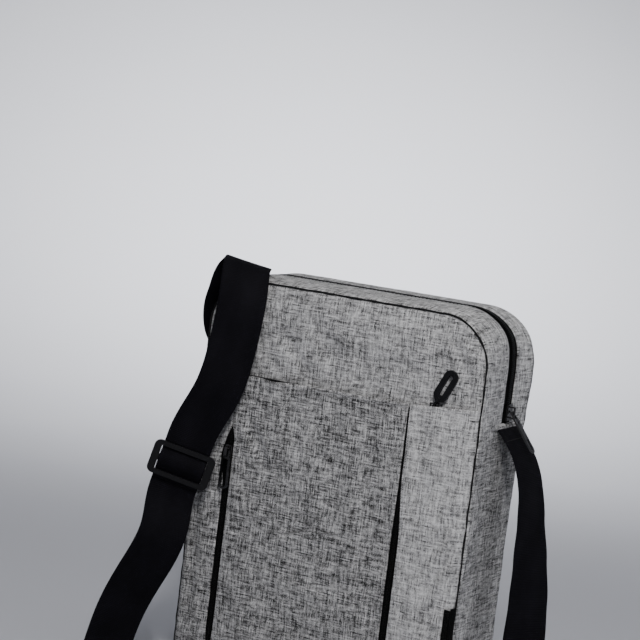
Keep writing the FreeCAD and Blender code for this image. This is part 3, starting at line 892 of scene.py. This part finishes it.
# The adjuster: its middle, and its directions along its bar, out of its face and down the strap.
glide_centre = Vector((-115.8, -69, 172))
glide_across = Vector((0.87, 0.44, -0.24)).normalized()
glide_out = Vector((-0.3, -0.1, -0.95)).cross(glide_across).normalized()
if glide_out.y > 0:
    glide_out.negate()
glide_down = glide_across.cross(glide_out).normalized()
if glide_down.z > 0:
    glide_down.negate()
# The short end's way over the middle bar, as (down, out) in millimetres.
weave = (
    (-25, -2.5), (-14, -2.5), (-10.2, -2.3), (-6.25, 0), (-2.3, 2.3), (0, 2.5), (2.3, 2.3),
    (6.25, 0), (10.2, -2.3), (14, -2.5), (17, -2.5),
)


def by_glide(v, n):
    return tuple(glide_centre + glide_down * v + glide_out * n)


def cubic(knots, values, at):
    """A natural cubic through the values at those knots, and its slope."""
    count = len(knots)
    gap = np.diff(knots)
    matrix, right = np.eye(count), np.zeros((count, values.shape[1]))
    for i in range(1, count - 1):
        matrix[i, i - 1 : i + 2] = gap[i - 1], 2 * (gap[i - 1] + gap[i]), gap[i]
        right[i] = 6 * (
            (values[i + 1] - values[i]) / gap[i] - (values[i] - values[i - 1]) / gap[i - 1]
        )
    bend = np.linalg.solve(matrix, right)
    i = np.clip(np.searchsorted(knots, at, side="right") - 1, 0, count - 2)
    h, a, b = gap[i, None], (knots[i + 1] - at)[:, None], (at - knots[i])[:, None]
    place = (bend[i] * a**3 + bend[i + 1] * b**3) / (6 * h)
    place += (values[i] / h - bend[i] * h / 6) * a + (values[i + 1] / h - bend[i + 1] * h / 6) * b
    slope = (bend[i + 1] * b**2 - bend[i] * a**2) / (2 * h) + (values[i + 1] - values[i]) / h
    slope -= (bend[i + 1] - bend[i]) * h / 6
    return place, slope


def ribbon(name, route, step=0.0016):
    """Flat webbing along a route, with rounded edges and its ends closed."""
    points = np.array([stop[0] for stop in route], float) * mm
    widths = unit(np.array([stop[1] for stop in route], float))
    knots = distances(points)
    at = np.linspace(0, knots[-1], int(knots[-1] / step))
    centre, slope = cubic(knots, points, at)
    along = unit(slope)
    i = np.clip(np.searchsorted(knots, at, side="right") - 1, 0, len(knots) - 2)
    turn = ease((at - knots[i]) / (knots[i + 1] - knots[i]))[:, None]
    across = widths[i] * (1 - turn) + widths[i + 1] * turn
    across = unit(across - along * (across * along).sum(1, keepdims=True))
    face = np.cross(along, across)
    walk = distances(centre)
    half, thick = sizes().webbing / 2, sizes().webbing_thickness / 2
    flat, lip, lip_depth, thinning = half - 0.0011, half - 0.0004, thick * 0.62, 0.10
    profile = [(u, thick * (1 - thinning * (u / half) ** 2)) for u in np.linspace(-flat, flat, 15)]
    edge = [(lip, lip_depth), (half, 0.0), (lip, -lip_depth)]
    profile = profile + edge + [(u, -t) for u, t in profile[::-1]] + [(-u, -t) for u, t in edge]
    profile = np.array(profile)
    dish = ripples(walk, walk * 0, 5, 0.12, 0.05) * 0.0003
    out = profile[None, :, 1] + dish[:, None] * (1 - (profile[None, :, 0] / half) ** 2)
    table = centre[:, None] + across[:, None] * profile[None, :, :1]
    table = table + face[:, None] * out[:, :, None]
    cloth = np.stack(np.broadcast_arrays(profile[None, :, 0], walk[:, None]), -1)
    piece = grid_object(name, table, cloth, "webbing", wrap_columns=True, cap=True)
    return piece, float(walk[-1]), centre, across, face


# ---- Stitching --------------------------------------------------------------------------------
def stitches(name, lines, look="thread"):
    """Rows of single stitches: each line is its points and the directions that face out."""
    pitch = sizes().stitch + sizes().stitch_gap
    centres, along, outward = [], [], []
    near = 0.8 * mm
    chance = np.random.default_rng(17)
    for points, ups in lines:
        points, ups = np.asarray(points, float), np.asarray(ups, float)
        walk = distances(points)
        places = np.arange(pitch / 2, walk[-1], pitch)
        up = read_at(places, walk, ups)
        centres.append(read_at(places, walk, points) + up * sizes().thread * 0.12)
        run = read_at(places + near, walk, points) - read_at(places - near, walk, points)
        side = np.cross(run, up)
        along.append(run + side * chance.normal(0, 0.05, (len(places), 1)))
        outward.append(up)
    size = (sizes().stitch, sizes().thread, sizes().thread * 0.9)
    centres, along, outward = (np.concatenate(part) for part in (centres, along, outward))
    piece = beads(name, centres, along, outward, size, look)
    return placed(piece, "bag", "heather_fabric")


def front_line(surface, xs, zs):
    """A line over a front-facing surface, with the directions that face out."""
    xs, zs = np.broadcast_arrays(np.asarray(xs, float), np.asarray(zs, float))
    points = np.stack([xs, surface(xs, zs), zs], -1)
    step = 0.0008
    slope_x = (surface(xs + step, zs) - surface(xs - step, zs)) / (2 * step)
    slope_z = (surface(xs, zs + step) - surface(xs, zs - step)) / (2 * step)
    ups = np.stack([slope_x, -np.ones_like(xs), slope_z], -1)
    return points, unit(ups)


# ---- Edges of the pocket panels ---------------------------------------------------------------
left_zip, right_zip, side_zip = (middle(side + "_slider", 0) for side in ("left", "right", "side"))
left_zip_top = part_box("left_zip_tape")[1][2]
side_zip_low, side_zip_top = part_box("side_zip_tape")[0][2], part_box("side_zip_tape")[1][2]
left_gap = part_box("pocket_centre_panel")[0][0] - left_zip
right_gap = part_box("pocket_right_panel")[0][0] - right_zip
left_slider_z = middle("left_slider", 2)


def pocket_rim(x):
    """Height of the pocket's top edge, which rises to the right."""
    x = np.asarray(x, float)
    rise = np.interp(x, [-0.122, -0.084, 0.064, 0.122], [0.0002, 0.0012, 0.0042, 0.0088])
    return pocket_high + rise - 0.0011 * np.exp(-(((x - gape_x) / 0.010) ** 2))


def straight(value):
    """An edge that stays at that x or z."""
    return lambda at: np.full_like(np.asarray(at, float), value)


pocket_base = straight(0.0006)
far_left, far_right = straight(-half_width + 0.0015), straight(half_width - 0.0015)


def left_opening(z):
    """Half the width of the left zip's opening, which narrows below and closes above the zip."""
    low_part = 0.62 + 0.38 * ease(z, 0.022, 0.042)
    return left_gap * low_part, 1 - ease(z, left_zip_top - 0.008, left_zip_top + 0.005)


def left_panel_edge(z):
    """Right edge of the left panel, beside the left zip and bowed out round its slider."""
    half, open_part = left_opening(z)
    bow = 0.0042 * np.exp(-(((z - left_slider_z + 0.004) / 0.013) ** 2))
    return left_zip + 0.0001 - (half + bow) * open_part


def centre_left_edge(z):
    half, open_part = left_opening(z)
    return left_zip + 0.0003 + (half - 0.0002) * open_part


def right_narrowing(z):
    return ease(z, 0.140, 0.200)


def centre_right_edge(z):
    return right_zip - right_gap + 0.0008 * right_narrowing(z)


def right_panel_edge(z):
    return right_zip + right_gap - 0.0036 * right_narrowing(z) - 0.0006 * ease(z, 0.2, 0.248)


def lamp(name, kind, place, goal, **settings):
    """A light at that place, aimed at the goal."""
    data = bpy.data.lights.new(name, kind)
    for key, value in settings.items():
        setattr(data, key, value)
    holder = bpy.data.objects.new(name, data)
    holder.location = place
    holder.rotation_euler = (goal - place).to_track_quat("-Z", "Y").to_euler()
    bpy.context.scene.collection.objects.link(holder)


# ---- Operators --------------------------------------------------------------------------------
class BAG_OT_stage(bpy.types.Operator):
    """Floor, backdrop, lights and camera"""

    bl_idname = "bag.stage"
    bl_label = "Stage"

    def execute(self, context):
        view = context.scene.bag_camera
        radius, wall, bend, below = 2.8, 2.9, 1.9, 0.0006
        profile = [(0.02, 0.0)] + [(r, 0.0) for r in np.linspace(0.3, radius - bend, 9)]
        profile += [
            (radius - bend + bend * math.sin(a), bend - bend * math.cos(a))
            for a in np.linspace(0.1, math.pi / 2, 14)
        ]
        profile += [(radius, z) for z in np.linspace(bend + 0.1, wall, 8)]
        profile = np.array(profile)
        turn = np.linspace(0, 2 * math.pi, 97)[:-1]
        points = np.stack(
            [
                profile[:, :1] * np.cos(turn), profile[:, :1] * np.sin(turn),
                profile[:, 1:] * np.ones(len(turn)) - below,
            ],
            -1,
        )
        floor = grid_object("stage_floor", points, points[:, :, :2], "paper", wrap_columns=True)
        floor.data.flip_normals()

        yaw, pitch, roll = view.yaw, view.pitch, view.roll
        back = Vector(
            (math.sin(yaw) * math.cos(pitch), -math.cos(yaw) * math.cos(pitch), math.sin(pitch))
        )
        flat_right = Vector((math.cos(yaw), math.sin(yaw), 0))
        upright = back.cross(flat_right)
        right = flat_right * math.cos(roll) + upright * math.sin(roll)
        up = upright * math.cos(roll) - flat_right * math.sin(roll)
        camera_data = bpy.data.cameras.new("camera")
        camera_data.lens, camera_data.sensor_width = view.lens, 36
        camera = bpy.data.objects.new("camera", camera_data)
        place = Matrix((right, up, back)).transposed().to_4x4()
        place.translation = Vector(view.target) + back * view.distance
        camera.matrix_world = place
        context.scene.collection.objects.link(camera)
        context.scene.camera = camera

        flat_back = Vector((math.sin(yaw), -math.cos(yaw), 0))
        goal = Vector((0, 0, 0.17))
        cool = (0.97, 0.98, 1.0)
        for name, side, near, height, size, power, tint in (
            ("key", 0.02, 1.10, 1.10, 0.26, 12.6, (1.0, 0.99, 0.98)),
            ("side", 1.5, 0.5, 0.5, 0.6, 1.4, cool),
            ("top", 0.2, 0.1, 1.6, 0.8, 1.8, cool),
        ):
            place = goal + flat_right * side + flat_back * near + Vector((0, 0, height))
            lamp(name, "AREA", place, goal, size=size, energy=power, color=tint)
        lamp(
            "backdrop_glow", "SPOT", flat_back * -1.15 + Vector((0, 0, 1.15)),
            flat_back * -1.95 + Vector((0, 0, 0.2)) - flat_right * 0.05,
            energy=172.0, spot_size=2.2, spot_blend=1.0, shadow_soft_size=0.6,
        )

        world = bpy.data.worlds.new("studio")
        world.use_nodes = True
        sky = world.node_tree.nodes["Background"].inputs
        sky["Color"].default_value, sky["Strength"].default_value = (0.98, 0.985, 1.0, 1), 0.205
        context.scene.world = world
        return {"FINISHED"}


class BAG_OT_front_cover(bpy.types.Operator):
    """Padded front of the main compartment"""

    bl_idname = "bag.front_cover"
    bl_label = "Front cover"

    def execute(self, context):
        piece = cover("front_cover", front_surface, "fabric", 1, 0.0018)
        placed(piece, "bag", "heather_fabric", "front_panel")
        return {"FINISHED"}


class BAG_OT_back_cover(bpy.types.Operator):
    """Padded back of the bag"""

    bl_idname = "bag.back_cover"
    bl_label = "Back cover"

    def execute(self, context):
        piece = cover("back_cover", back_surface, "fabric", -1)
        placed(piece, "bag", "heather_fabric", "back_panel")
        return {"FINISHED"}


class BAG_OT_side_walls(bpy.types.Operator):
    """One strip of fabric down the right side, under the base and up the left side"""

    bl_idname = "bag.side_walls"
    bl_label = "Side walls"

    def execute(self, context):
        edge = Outline()
        over = 0.0016
        s = np.arange(-edge.seam - over, edge.seam + over, 0.0028)
        s = np.append(s, edge.seam + over)
        y = np.concatenate(
            [
                front_y + np.array([-0.3, 0.2, 0.9, 1.8, 2.8]) * mm,
                np.linspace(front_y + 0.0045, back_y - 0.0045, 30),
                back_y - np.array([2.8, 1.8, 0.9, 0.2, -0.3]) * mm,
            ]
        )
        y[0], y[-1] = front_y + 0.0004, back_y - 0.0004
        y[1], y[-2] = front_y + 0.0007, back_y - 0.0007

        def out(s, y):
            return rim_groove(y) + side_swell(s, y, edge)

        # The walls take the side copy of the fabric, darkened as painted shade.
        piece = band("side_walls", s, y, out, edge, "side", flip=True)
        placed(
            thicken(piece, fabric_thickness), "bag", "heather_fabric",
            "side_gusset_left", "side_gusset_right", "base_gusset",
        )
        return {"FINISHED"}


class BAG_OT_top_bands(bpy.types.Operator):
    """The two bands beside the main zip, with their edges turned under"""

    bl_idname = "bag.top_bands"
    bl_label = "Top bands"

    def execute(self, context):
        edge = Outline()
        s = np.arange(edge.seam, edge.whole - edge.seam, 0.0024)
        for name, wall, fold, node in (
            ("top_band_front_cover", front_y, band_edges[0], "top_band_front"),
            ("top_band_rear_cover", back_y, band_edges[1], "top_band_rear"),
        ):
            toward = 1 if fold > wall else -1
            rows = [0.4, 0.7, 1.1, 1.8, 2.8, 4.2]
            y = [wall + toward * v * mm for v in rows]
            count = 12 if toward > 0 else 7
            y += list(np.linspace(wall + toward * 0.006, fold - toward * 0.0024, count))
            y = [(v, 0.0) for v in y]
            y += [(fold - toward * inset * mm, depth * mm) for inset, depth in hem]
            y = np.array(y)
            grid_s, grid_y = np.meshgrid(s, y[:, 0], indexing="ij")
            pinch = 0.35 * mm * ripples(grid_s, grid_y * 0.5, 31, 0.05, 0.016)
            near_fold = np.exp(-(np.abs(grid_y - fold) / 0.008))
            out = rim_groove(grid_y) + crown_at(grid_s, grid_y, edge) - y[:, 1][None, :]
            out += pinch * (1 - near_fold * 0.5) * ease(np.abs(grid_y - wall), 0.002, 0.008)
            share = np.clip(np.abs(grid_y - wall) / abs(fold - wall), 0, 1)
            puff = 0.7 * mm * np.sin(share * math.pi)
            out += puff * (1 - y[:, 1][None, :] / 0.0013).clip(0, 1)
            points = edge.point(grid_s, grid_y, out)
            cloth = np.stack([grid_y, grid_s], -1)
            piece = grid_object(name, points, cloth, "fabric", flip=toward > 0)
            placed(piece, "bag", "heather_fabric", node)
        return {"FINISHED"}


class BAG_OT_cross_seams(bpy.types.Operator):
    """Folded seams across both sides, which hold the strap's ends"""

    bl_idname = "bag.cross_seams"
    bl_label = "Cross seams"

    def execute(self, context):
        profile = np.array(
            [
                (2.0, -0.9), (1.8, 0.0), (1.3, 0.45), (0.4, 0.7), (-0.8, 0.72), (-1.7, 0.5),
                (-2.2, 0.1), (-2.2, -0.8),
            ]
        )
        y = np.concatenate(
            [
                [front_y + 0.0005, front_y + 0.0012],
                np.linspace(front_y + 0.0025, back_y - 0.0025, 44),
                [back_y - 0.0012, back_y - 0.0005],
            ]
        )
        lift = 1 - ease(np.abs(y - zip_y), 0.0185, 0.0225)
        for side, name in ((-1, "cross_seam_left"), (1, "cross_seam_right")):
            wobble = ripples(y, y * 0, 41 + side, 0.03, 0.01) * 0.0002
            z = seam_z + 0.0004 + profile[:, 0] * mm + wobble[:, None]
            share = np.interp(profile[:, 0], [-2.2, -0.6, 1.2, 2.0], [1, 1, 0.5, 0])
            bulge = lift[:, None] * 1.7 * mm * share
            out = profile[:, 1] * mm + bulge + rim_groove(y)[:, None]
            depth = y[:, None] * np.ones(len(profile))
            points = np.stack([side * (half_width + out), depth, z], -1)
            cloth = np.stack([depth, z], -1)
            # The seams take the side copy of the fabric, darkened as painted shade.
            piece = grid_object(name, rear_fullness(points), cloth, "side", flip=side > 0)
            placed(piece, "bag", "heather_fabric")
        return {"FINISHED"}


class BAG_OT_seam_cords(bpy.types.Operator):
    """Thin dark cord sewn into the groove round the front and the back"""

    bl_idname = "bag.seam_cords"
    bl_label = "Seam cords"

    def execute(self, context):
        edge = Outline()
        s = np.linspace(0, edge.whole, 560, endpoint=False)
        turn = np.arange(8) * math.pi / 4
        for name, y, node, seed in (
            ("seam_cord_front", front_y + 0.0005, "front_edge_binding", 51),
            ("seam_cord_back", back_y - 0.0005, "back_edge_binding", 52),
        ):
            drift = ripples(s, s * 0, seed, 0.03, 0.008)
            radius = 0.00078 + 0.0002 * ripples(s, s * 0, seed + 9, 0.02, 0.005)
            line = edge.point(s, y + drift * 0.00025, -0.0010 + drift * 0.0002)
            ring = edge.outward(s)[:, None] * np.cos(turn)[:, None]
            ring = ring + np.array([0, 1, 0]) * np.sin(turn)[:, None]
            table = line[:, None] + ring * radius[:, None, None]
            faces = grid_faces(len(s), len(turn), wrap_rows=True, wrap_columns=True)
            piece = mesh_object(name, table.reshape(-1, 3), faces, None, "binding")
            placed(piece, "bag", "edge_binding", node)
        return {"FINISHED"}


class BAG_OT_pocket_panels(bpy.types.Operator):
    """The three panels of the front pocket, sewn beside its two upright zips"""

    bl_idname = "bag.pocket_panels"
    bl_label = "Pocket panels"

    def execute(self, context):
        # The left and centre panels take the pocket copy of the fabric, darkened as painted shade;
        # the right panel takes the column copy, lightened as painted light.
        for side, look, left, right, ends, nodes in (
            ("left", "pocket", far_left, left_panel_edge, (plain_edge, hem),
             ("pocket_left_panel", "pocket_side_wall")),
            ("centre", "pocket", centre_left_edge, centre_right_edge, (hem, hem),
             ("pocket_centre_panel",)),
            ("right", "column", right_panel_edge, far_right, (hem, plain_edge),
             ("pocket_right_panel",)),
        ):
            piece = sewn_panel(
                f"pocket_{side}_cover", pocket_surface, left, right, pocket_base, pocket_rim,
                (*ends, plain_edge, hem), look,
            )
            trim_to_outline(piece)
            placed(piece, "bag", "pocket_fabric", *nodes)
            width = float(right(0.12) - left(0.12))
        return {"FINISHED"}


def trim_to_outline(piece):
    """Pulls a panel's lower corners in to the bag's rounded outline."""
    points = np.array([v.co for v in piece.data.vertices])
    x, z = points[:, 0].copy(), points[:, 2]
    radius = sizes().base_radius
    low = z < radius
    limit = half_width - radius + np.sqrt(np.maximum(0, radius**2 - (radius - z) ** 2))
    factor = np.where(low, np.minimum(1, limit / half_width), 1)
    near = ease(np.abs(x), half_width - 0.05, half_width)
    points[:, 0] = x * (1 - near * (1 - factor))
    piece.data.vertices.foreach_set("co", points.astype(np.float32).ravel())
    piece.data.update()


class BAG_OT_side_flap(bpy.types.Operator):
    """The fabric that opens out beside the side pocket's short zip"""

    bl_idname = "bag.side_flap"
    bl_label = "Side pocket flap"

    def execute(self, context):
        gap = 0.0031
        high = side_zip_top + 0.002

        def flap_left(z):
            down = (high - z) / (high - side_zip_low)
            return side_zip - gap - 0.0008 - 0.034 * np.clip(down, 0, 1) ** 0.72

        def flap_right(z):
            return side_zip - gap + 0 * z

        def raised(x, z):
            reach = (flap_right(z) - x) / np.maximum(flap_right(z) - flap_left(z), 0.0005)
            tuck = 0.9 * mm * ease(reach, 0.55, 1.0)
            return pocket_surface(x, z) - 1.25 * mm * ease(high - z, 0.0, 0.012) - 0.15 * mm + tuck

        narrow = tuple((inset * 0.35, depth) for inset, depth in hem)
        # The flap takes the column copy of the fabric, lightened as painted light.
        left = sewn_panel(
            "side_flap", raised, flap_left, flap_right, straight(side_zip_low - 0.012),
            straight(high), (narrow, narrow, plain_edge, plain_edge), "column",
        )
        placed(left, "bag", "pocket_fabric")

        z = np.linspace(side_zip_low - 0.006, side_zip_top + 0.0015, 44)
        inner, outer = side_zip + 0.0018, half_width - 0.0002
        share = np.linspace(0, 1, 9)
        grid_z, grid_share = np.meshgrid(z, share, indexing="ij")
        narrow_top = ease(grid_z, side_zip_top - 0.012, side_zip_top + 0.0015)
        x = inner + (outer - inner) * grid_share
        dip = (front_y - pocket_face) * grid_share**2 * 1.05 - 0.0008 + 0.0011 * narrow_top
        points = np.stack([x, pocket_face + dip, grid_z], -1)
        gore = grid_object("side_pocket_gore", points, np.stack([x, grid_z], -1), "tape")
        placed(gore, "bag", "lining")
        return {"FINISHED"}


class BAG_OT_main_zip(bpy.types.Operator):
    """Tape, coils and end stops of the main zip"""

    bl_idname = "bag.main_zip"
    bl_label = "Main zip"

    def execute(self, context):
        edge = Outline()
        rise = -1.3 * mm
        s = np.arange(edge.seam + 0.0006, edge.whole - edge.seam - 0.0006, 0.0022)
        y = np.linspace(band_edges[0] - 0.0052, band_edges[1] + 0.0052, 15)

        def out(s, y):
            return crown_at(s, y, edge) + rise

        tape = band("main_tape", s, y, out, edge, "tape", flip=True)
        placed(tape, "bag", "zip_tape", "main_zip_tape_front", "main_zip_tape_rear")
        inner = s[(s > edge.seam + 0.003) & (s < edge.whole - edge.seam - 0.003)]
        path = edge.point(inner, zip_y, out(inner, zip_y) + 0.9 * mm)
        across, up = np.tile([0.0, 1.0, 0.0], (len(inner), 1)), edge.outward(inner)
        teeth = coil("main_coil", path, across, up, sizes().coil_pitch, 0.0060, 0.0017)
        placed(teeth, "bag", "zip_teeth", "main_zip_teeth_front", "main_zip_teeth_rear")
        centres, ways, ups = [], [], []
        for side in (-1, 1):
            for shift in (-0.0016, 0.0016):
                centres.append((side * (half_width - 0.0003), zip_y + shift, seam_z + 0.0012))
                ways.append((0, 0, 1))
                ups.append((side, 0, 0))
        size = (0.0030, 0.0028, 0.0019)
        stops = beads("main_stops", centres, ways, ups, size, "metal", 5, 8, 0.3)
        placed(stops, "bag", "slider_metal", "main_zip_stops")
        return {"FINISHED"}


class BAG_OT_pocket_zips(bpy.types.Operator):
    """Tapes and coils of the four small zips on the front"""

    bl_idname = "bag.pocket_zips"
    bl_label = "Pocket zips"

    def execute(self, context):
        def teeth(name, path, across, up, width, height):
            lines = (np.tile(way, (len(path), 1)) for way in (across, up))
            piece = coil(name + "_coil", path, *lines, sizes().small_pitch, width, height)
            placed(piece, "bag", "zip_teeth", name + "_teeth")

        for name in ("left_zip", "right_zip", "side_zip"):
            low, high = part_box(name + "_tape")
            teeth_low, teeth_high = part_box(name + "_teeth")
            face = low[1]
            piece = flat_tape(
                name + "_cloth", low[0], high[0], face + 0.0001, low[2], high[2], (name + "_tape",)
            )
            z = np.linspace(teeth_low[2], teeth_high[2], 60)
            x = (teeth_low[0] + teeth_high[0]) / 2
            path = np.stack([z * 0 + x, z * 0 + face - 0.0007, z], -1)
            teeth(name, path, (1.0, 0.0, 0.0), (0.0, -1.0, 0.0), 0.0036, 0.0013)

        low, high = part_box("pocket_zip_tape_front")
        front, rear, top = low[1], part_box("pocket_zip_tape_rear")[1][1], high[2]
        flat_tape(
            "pocket_zip_cloth", low[0], high[0], top - 0.0001, front + 0.0001, rear - 0.0001,
            ("pocket_zip_tape_front", "pocket_zip_tape_rear"), level=True,
        )
        x = np.linspace(low[0] + 0.001, high[0] - 0.001, 60)
        path = np.stack([x, x * 0 + (front + rear) / 2, x * 0 + top + 0.0006], -1)
        teeth("pocket_zip", path, (0.0, 1.0, 0.0), (0.0, 0.0, 1.0), 0.0024, 0.0012)
        return {"FINISHED"}


def worked_copy(node, name, look, body, slot, bevel):
    """A smooth copy of a hard piece with its edges broken."""
    mesh = bmesh.new()
    mesh.from_mesh(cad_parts[node].data)
    bmesh.ops.remove_doubles(mesh, verts=mesh.verts, dist=1e-6)
    bmesh.ops.dissolve_limit(
        mesh, angle_limit=math.radians(1.5), verts=mesh.verts, edges=mesh.edges, delimit={"NORMAL"}
    )
    data = bpy.data.meshes.new(name)
    mesh.to_mesh(data)
    mesh.free()
    data.polygons.foreach_set("use_smooth", [True] * len(data.polygons))
    data.materials.clear()
    data.materials.append(finish(look))
    piece = bpy.data.objects.new(name, data)
    bpy.context.scene.collection.objects.link(piece)
    rounding = piece.modifiers.new("edges", "BEVEL")
    rounding.width, rounding.segments, rounding.limit_method = bevel, 3, "ANGLE"
    rounding.angle_limit = math.radians(32)
    rounding.use_clamp_overlap = True
    rounding.harden_normals = False
    normals = piece.modifiers.new("normals", "WEIGHTED_NORMAL")
    normals.keep_sharp = False
    return placed(piece, body, slot, node)


class BAG_OT_sliders(bpy.types.Operator):
    """The five zip sliders"""

    bl_idname = "bag.sliders"
    bl_label = "Zip sliders"

    def execute(self, context):
        for name in ("main", "pocket", "left", "right", "side"):
            node = name + "_slider"
            worked_copy(node, node + "_body", "metal", node, "slider_metal", 0.00022)
        return {"FINISHED"}


class BAG_OT_pulls(bpy.types.Operator):
    """The pull on each slider"""

    bl_idname = "bag.pulls"
    bl_label = "Zip pulls"

    def execute(self, context):
        for name, look, slot in (
            ("main", "steel", "pull_steel"), ("pocket", "rubber", "pull_rubber"),
            ("left", "black_metal", "pull_black"), ("right", "black_metal", "pull_black"),
            ("side", "black_metal", "pull_black"),
        ):
            node, bevel = name + "_pull", 0.00045 if name == "pocket" else 0.00025
            worked_copy(node, node + "_tongue", look, node, slot, bevel)
        return {"FINISHED"}


class BAG_OT_tri_glide(bpy.types.Operator):
    """The strap's adjuster"""

    bl_idname = "bag.tri_glide"
    bl_label = "Tri-glide"

    def execute(self, context):
        worked_copy("tri_glide", "strap_glide", "plastic", "bag", "glide_plastic", 0.0007)
        return {"FINISHED"}


class BAG_OT_strap(bpy.types.Operator):
    """Both lengths of the shoulder strap, with the sewn ends"""

    bl_idname = "bag.strap"
    bl_label = "Shoulder strap"

    def execute(self, context):
        across = tuple(glide_across)
        through = tuple((by_glide(v, n), across) for v, n in weave)
        start = tuple((by_glide(v, -4.6), across) for v in (2, 13, 24))
        rows = []
        for name, route, node, index in (
            ("strap_short_webbing", short_route + through, "strap_short", 8),
            ("strap_long_webbing", start + long_route, "strap_long", -8),
        ):
            piece, length, centre, width, face = ribbon(name, route)
            placed(piece, "bag", "webbing", node)
            outward = face[index] if face[index][0] * centre[index][0] > 0 else -face[index]
            half = sizes().webbing / 2 - 0.003
            reach = np.linspace(-half, half, 24)[:, None]
            line = centre[index] + width[index] * reach
            line = line + outward * (sizes().webbing_thickness / 2)
            rows.append((line, np.tile(outward, (24, 1))))
        stitches("strap_end_stitches", rows, "dark_thread")
        return {"FINISHED"}


class BAG_OT_stitching(bpy.types.Operator):
    """Topstitching along the folded edges and seams"""

    bl_idname = "bag.stitching"
    bl_label = "Stitching"

    def execute(self, context):
        edge = Outline()
        rows = []
        for start, end in ((-0.1185, -0.0895), (-0.0815, 0.0618), (0.0700, 0.1185)):
            x = np.linspace(start, end, 120)
            rows.append(front_line(pocket_surface, x, pocket_rim(x) - 0.0028))
        z = np.linspace(left_zip_top + 0.004, pocket_high - 0.006, 40)
        rows.append(front_line(pocket_surface, z * 0 + left_zip - 0.0026, z))
        for edge_at, shift, top in (
            (left_panel_edge, -0.0022, left_zip_top - 0.004),
            (centre_left_edge, 0.0022, left_zip_top - 0.004),
            (centre_right_edge, -0.0022, pocket_high - 0.006),
            (right_panel_edge, 0.0024, pocket_high - 0.006),
        ):
            z = np.linspace(0.012, top, 120)
            rows.append(front_line(pocket_surface, edge_at(z) + shift, z))
        stitches("pocket_stitches", rows, "thread")

        s = np.arange(edge.seam + 0.004, edge.whole - edge.seam - 0.004, 0.003)
        up = edge.outward(s)
        rows = []
        for y in (band_edges[0] - 0.0026, band_edges[1] + 0.0026):
            rows.append((edge.point(s, y, crown_at(s, y, edge) + 0.00025), up))
        for side in (-1, 1):
            y = np.linspace(front_y + 0.003, back_y - 0.003, 60)
            clear = np.abs(y - zip_y) > 0.0235
            for part in (y[(y < zip_y) & clear], y[(y > zip_y) & clear]):
                x = part * 0 + side * (half_width + 0.0009)
                line = np.stack([x, part, part * 0 + seam_z - 0.0006], -1)
                rows.append((line, np.tile([side, 0.0, 0.0], (len(part), 1))))
        stitches("band_stitches", rows, "thread")
        return {"FINISHED"}


class BAG_OT_inside(bpy.types.Operator):
    """Foam, lining, base board and slip pocket inside the bag"""

    bl_idname = "bag.inside"
    bl_label = "Inside"

    def execute(self, context):
        for look, nodes in (
            ("foam", ("front_foam", "back_foam")),
            ("lining", ("front_lining", "back_lining", "gusset_lining", "inner_slip_pocket")),
            ("board", ("base_board",)),
        ):
            for node in nodes:
                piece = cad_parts[node]
                for slot in piece.material_slots:
                    slot.material = finish(look)
        return {"FINISHED"}


class BAG_PT_panel(bpy.types.Panel):
    """The bag's pieces, in the order they are made"""

    bl_idname = "BAG_PT_panel"
    bl_label = "Messenger bag"
    bl_space_type = "VIEW_3D"
    bl_region_type = "UI"
    bl_category = "Bag"

    def draw(self, context):
        for piece in pieces:
            self.layout.operator(piece.bl_idname)
        for group in (context.scene.bag_sizes, context.scene.bag_colours, context.scene.bag_camera):
            box = self.layout.box()
            for key in group.__annotations__:
                box.prop(group, key)


pieces = (
    BAG_OT_stage,
    BAG_OT_front_cover,
    BAG_OT_back_cover,
    BAG_OT_side_walls,
    BAG_OT_main_zip,
    BAG_OT_top_bands,
    BAG_OT_cross_seams,
    BAG_OT_seam_cords,
    BAG_OT_pocket_panels,
    BAG_OT_side_flap,
    BAG_OT_pocket_zips,
    BAG_OT_sliders,
    BAG_OT_pulls,
    BAG_OT_tri_glide,
    BAG_OT_strap,
    BAG_OT_stitching,
    BAG_OT_inside,
)
classes = (BagSizes, BagColours, BagCamera, *pieces, BAG_PT_panel)


def register():
    for item in classes:
        bpy.utils.register_class(item)
    bpy.types.Scene.bag_sizes = PointerProperty(type=BagSizes)
    bpy.types.Scene.bag_colours = PointerProperty(type=BagColours)
    bpy.types.Scene.bag_camera = PointerProperty(type=BagCamera)


def unregister():
    del bpy.types.Scene.bag_camera, bpy.types.Scene.bag_colours, bpy.types.Scene.bag_sizes
    for item in reversed(classes):
        bpy.utils.unregister_class(item)


def main():
    register()
    for piece in pieces:
        group, name = piece.bl_idname.split(".")
        getattr(getattr(bpy.ops, group), name)()


if __name__ == "__main__":
    main()
